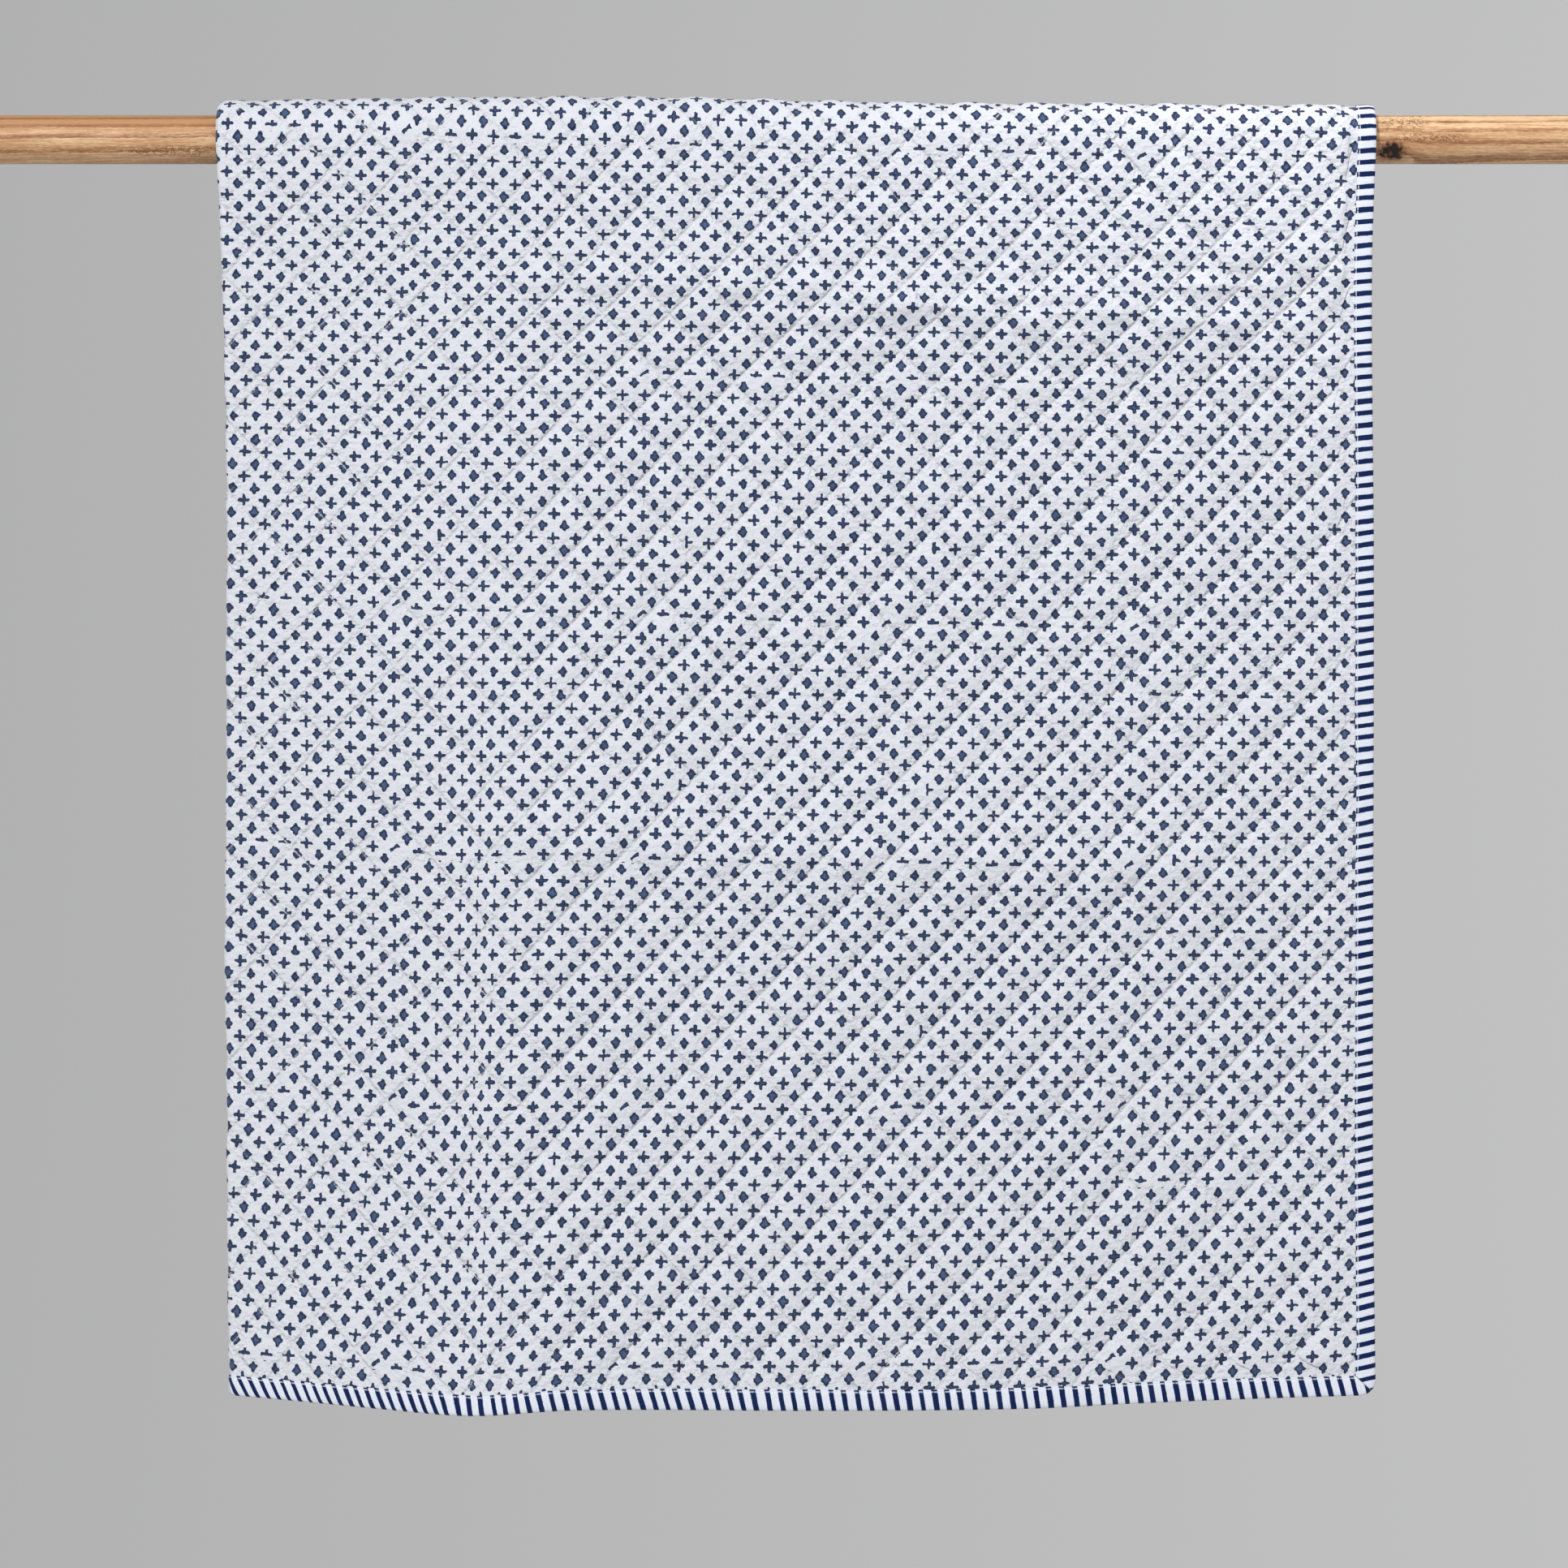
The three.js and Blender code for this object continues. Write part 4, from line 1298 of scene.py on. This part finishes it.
def striped_cotton():
    material, tree, shader = new_material("striped_cotton", roughness=0.88, **COTTON)
    run, inset = (place * PER_METRE for place in wires_of_map(tree, "cloth"))
    noises = make_noises(tree, STRIPE_NOISES, run, inset)
    place = (run + (noises["sway"] + noises["shake"])) / STRIPE_PITCH
    odd = chance(tree, place.floor(), 0.5)
    off = ((place.fract() - 0.5) * STRIPE_PITCH + odd[1] * STRIPE_SHIFT).abs()
    edge = off - (STRIPE_HALF + odd[0] * STRIPE_UNEVEN) + noises["ragged"]
    cover = 1 - edge.ramp(-INK_EDGE, INK_EDGE)
    wear = (noises["wear"] + WEAR_BASE + odd[2] * WEAR_UNEVEN).ramp(*WEAR_ENDS)
    ink = blend(tree, wear * WEAR_MOST, STRIPE_INK, STRIPE_FADED)
    cotton = blend(tree, 0.5 + noises["slub"], STRIPE_WHITE, STRIPE_SHADE)
    on_seam = (inset - TOPSTITCH_INSET).abs().under(THREAD_HALF)
    stitch = (run / STITCH_LENGTH).fract().under(STITCH_SHARE) * on_seam
    surface = blend(tree, cover * (1 - stitch * TOPSTITCH_COVER), cotton, ink)
    tree.links.new(surface, shader.inputs["Base Color"])

    seam = (inset.abs() - TOPSTITCH_INSET).abs()
    pulled = (1 - seam.ramp(0.0, SEAM_REACH)) * -SEAM_PULL
    add_bump(tree, shader, pulled + noises["gathers"] + noises["weave"])
    return material


# Colours of the pine
PINE_PALE = colour(240, 203, 158)
PINE_TAN = colour(199, 150, 107)
PINE_LATE = colour(150, 98, 62)
PINE_RESIN = colour(128, 70, 40)
PINE_DARK = colour(30, 16, 10)

# Growth rings are cut lengthwise, round a heart that lies above the rod
RING_SPACING = 5.55
RING_HEART = (8.0, 46.0)
RING_SHIFT = 3.1
RING_TILT = 0.012
RING_FRAY = 0.7
TORN_FRAY = 3.5
LATE_RISE = (0.4, 0.93)
LATE_FALL = (0.95, 1.0)
FINE_SHARE = 0.23
FINE_RISE = (0.3, 0.9)

# How tan the pale wood is, with painted light on the top of the rod: painted shade at the left that fades to
# the right and turns into a painted highlight there
TONE = dict(base=0.55, fibre=2.4, speck=1.5, fine=0.2)
TOP_HEIGHT = (0.0, 13.0)
TOP_RUN = (-330.0, 330.0)
TOP_LEFT = 1.3
TOP_LOSS = 2.2
LATE_SHARE = 0.75
LATE_FIBRE = 1.6

# The knot: its place and size, how far it pushes the rings, its dark ring and its small heart
KNOT = (310.0, -10.2, -7.4)
KNOT_SIZE = (7.0, 5.6)
KNOT_REACH = 3.2
KNOT_PUSH = 3
HALO_ENDS = (0.7, 1.7)
HALO_SHARE = 0.7
RING_ENDS = (0.6, 1.0)
CORE_SHIFT = (0.6, 1.0)
CORE_ENDS = (0.5, 1.7)
CORE_SHARE = 0.6

# Torn grain on the front of the rod
TORN_PATCHES = table("x z reach height", (-318, -7.5, 42, 3.4), (316, 7.5, 16, 5), (330, -0.5, 24, 3))
PINE_RELIEF = dict(fibre=0.15, late=0.06, cracked=0.2, heart=0.3)
TORN_EDGE = (0.4, 1.0)
CRACK_WIDTH = 0.035
CRACK_SHARE = 0.8


# How torn the grain is, from 0 to 1
def torn_grain(x, y, z):
    torn = None
    for patch in TORN_PATCHES:
        off_x = ((x - patch["x"]) / patch["reach"]).abs()
        off_z = ((z - patch["z"]) / patch["height"]).abs()
        here = (1 - off_x.most(off_z).ramp(*TORN_EDGE)) * y.under(0.0)
        torn = here if torn is None else torn.most(here)
    return torn


def pine():
    material, tree, shader = new_material("pine", roughness=0.55, specular=0.4)
    x, y, z = (place * PER_METRE for place in object_place(tree))
    noises = make_noises(tree, PINE_NOISES, x, y, z)
    fibre, speck = noises["fibre"], noises["speck"]
    torn = torn_grain(x, y, z)
    kx, ky, kz = x - KNOT[0], y - KNOT[1], z - KNOT[2]
    knot = ((kx * kx) / KNOT_SIZE[0] ** 2 + (ky * ky + kz * kz) / KNOT_SIZE[1] ** 2).power(0.5)

    pushed = (1 - (knot / KNOT_REACH).ramp(0.0, 1.0)) * KNOT_PUSH
    strayed = noises["bowed"] + noises["frayed"] * (RING_FRAY + torn * TORN_FRAY)
    hy, hz = y - RING_HEART[0], z - RING_HEART[1]
    depth = (hy * hy + hz * hz).power(0.5) + x * RING_TILT + pushed + strayed + RING_SHIFT
    ring = (depth / RING_SPACING).fract()
    late = ring.ramp(*LATE_RISE) * (1 - ring.ramp(*LATE_FALL))
    fine = (depth / (RING_SPACING * FINE_SHARE)).fract().ramp(*FINE_RISE)
    # Painted shade on the top of the rod at the left, turning into a painted highlight on the top at the
    # right
    painted_top_shading = z.ramp(*TOP_HEIGHT) * (TOP_LEFT - x.ramp(*TOP_RUN) * TOP_LOSS)
    tone = TONE["base"] + noises["patch"] + fibre * TONE["fibre"] + speck * TONE["speck"]
    ground = blend(tree, tone + fine * TONE["fine"] + painted_top_shading, PINE_PALE, PINE_TAN)
    grain = blend(tree, late * (LATE_SHARE + fibre * LATE_FIBRE + speck), ground, PINE_LATE)

    cracked = torn * (1 - noises["cracks"].abs().ramp(0.0, CRACK_WIDTH))
    grain = blend(tree, cracked * CRACK_SHARE, grain, PINE_RESIN)
    ragged = knot + noises["knot"]
    halo = 1 - ragged.ramp(*HALO_ENDS)
    heart = 1 - ragged.ramp(*RING_ENDS)
    grain = blend(tree, halo * HALO_SHARE, grain, PINE_RESIN)
    grain = blend(tree, heart, grain, PINE_DARK)
    cx, cz = kx + CORE_SHIFT[0], kz + CORE_SHIFT[1]
    core = (cx * cx + cz * cz).power(0.5) + noises["knot"]
    grain = blend(tree, (1 - core.ramp(*CORE_ENDS)) * CORE_SHARE, grain, PINE_RESIN)
    tree.links.new(grain, shader.inputs["Base Color"])
    worn = late * PINE_RELIEF["late"] + cracked * PINE_RELIEF["cracked"] + heart * PINE_RELIEF["heart"]
    add_bump(tree, shader, fibre * PINE_RELIEF["fibre"] - worn)
    return material


# Camera: level, square on to the rod, and so far off that the perspective is slight
CAMERA = (-6.1, -2850.0, -336.3)
FRAME_WIDTH = 818.5
SENSOR = 36.0
FAR_CLIP = 60

# Stage, in metres: a wide round bowl with a dome, glowing more to the right and less in the dome
BOWL_RADIUS = 8.0
BOWL_FLOOR = -2.4
BOWL_CURVE = 3.0
BOWL_HEIGHT = 9.0
DOME_RISES = (1.5, 2.0)
BOWL_SIDES = 96
BOWL_ARC_POINTS = 12
GLOW_COLOUR = (1.0, 1.0, 1.01, 1)
GLOW_EVEN = 0.272
GLOW_LEFT = 0.05
GLOW_RIGHT = 0.385
DOME_SPAN = (1.0, 5.0)
DOME_GLOW = 0.25

# Soft lights: place, the point each faces, its size in metres and its power in watts
LIGHTS = table(
    "name place faces size power",
    ("key_light", (-2.95, -6.3, 3.8), (0, 0, -0.33), 1.9, 438),
    ("back_light", (2.4, 6.0, 0.9), (0, 0, -0.33), 1.9, 80),
    ("top_light", (0.25, -0.15, 0.3), (0.25, -0.02, -0.1), 0.2, 0.42),
)


def make_camera():
    data = bpy.data.cameras.new("camera")
    data.sensor_width = SENSOR
    data.lens = SENSOR * -CAMERA[1] / FRAME_WIDTH
    data.clip_end = FAR_CLIP
    camera = add_object("camera", data)
    camera.location = [value * MM for value in CAMERA]
    camera.rotation_euler = (math.pi / 2, 0, 0)
    bpy.context.scene.camera = camera


# The backdrop has no colour of its own and only glows, which lights the scene: its glow, brighter to the
# right and dimmer in the dome, is painted light in place of a lit wall
def glowing_backdrop():
    material, tree, shader = new_material("glowing_backdrop", roughness=0.95, specular=0.0)
    shader.inputs["Base Color"].default_value = (0, 0, 0, 1)
    shader.inputs["Emission Color"].default_value = GLOW_COLOUR
    x, _, z = object_place(tree)
    glow = x.ramp(-BOWL_RADIUS, BOWL_RADIUS) * (GLOW_RIGHT - GLOW_LEFT) + GLOW_LEFT
    dimmed = 1 - z.ramp(*DOME_SPAN) * (1 - DOME_GLOW)
    feed(tree, shader.inputs["Emission Strength"], glow * dimmed + GLOW_EVEN)
    material.cycles.emission_sampling = "NONE"
    return material


def make_stage():
    flat_reach = BOWL_RADIUS - BOWL_CURVE
    profile = [(BOWL_FLOOR, 0.0), (BOWL_FLOOR, flat_reach / 2)]
    for a in np.linspace(0, math.pi / 2, BOWL_ARC_POINTS):
        profile.append((BOWL_FLOOR + BOWL_CURVE * (1 - math.cos(a)), flat_reach + BOWL_CURVE * math.sin(a)))
    profile.append((lerp(profile[-1][0], BOWL_HEIGHT, 0.5), BOWL_RADIUS))
    profile.append((BOWL_HEIGHT, BOWL_RADIUS))
    profile.append((BOWL_HEIGHT + DOME_RISES[0], BOWL_RADIUS / 2))
    profile.append((BOWL_HEIGHT + DOME_RISES[1], 0.0))
    points = np.roll(turned_points(profile, BOWL_SIDES), -1, axis=1) / MM
    backdrop = make_mesh("backdrop", points, tube(len(profile), BOWL_SIDES)[1], {})
    backdrop.data.materials.append(glowing_backdrop())


def make_lights():
    for row in LIGHTS:
        data = bpy.data.lights.new(row["name"], "AREA")
        data.shape = "DISK"
        data.size = row["size"]
        data.energy = row["power"]
        light = add_object(row["name"], data)
        light.location = row["place"]
        away = light.location - Vector(row["faces"])
        light.rotation_euler = away.to_track_quat("Z", "Y").to_euler()
        light.visible_camera = False


def dress(piece, material, node):
    piece.data.materials.append(material)
    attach(piece, "root")
    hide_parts(node)
    return piece


# The four runs of binding, and how each turns its run and inset into a place across and along the cloth
HEM_RUN = dict(length=FLAT_WIDTH, lean_table=HEM_LEAN, width=10.9)
SIDE_RUN = dict(length=FLAT_LENGTH, lean_table=SIDE_LEAN, width=9.6)
BINDING_RUNS = table(
    "node name sizes seed place",
    ("binding_front_hem", "front_hem_binding", HEM_RUN, 31, lambda run, inset: (run, inset)),
    ("binding_back_hem", "back_hem_binding", HEM_RUN, 41, lambda run, inset: (run, FLAT_LENGTH - inset)),
    ("binding_outer_side", "outer_side_binding", SIDE_RUN, 51, lambda run, inset: (inset, run)),
    ("binding_inner_side", "inner_side_binding", SIDE_RUN, 61, lambda run, inset: (FLAT_WIDTH - inset, run)),
)

make_camera()
make_stage()
make_lights()
rod = dress(make_rod(), pine(), "rod")
panel = dress(make_panel(), printed_cotton(), "quilt_panel")
stripes = striped_cotton()
for run in BINDING_RUNS:
    binding = make_binding(run["name"], flat_place=run["place"], seed=run["seed"], **run["sizes"])
    dress(binding, stripes, run["node"])

bpy.context.scene.view_settings.view_transform = "Standard"
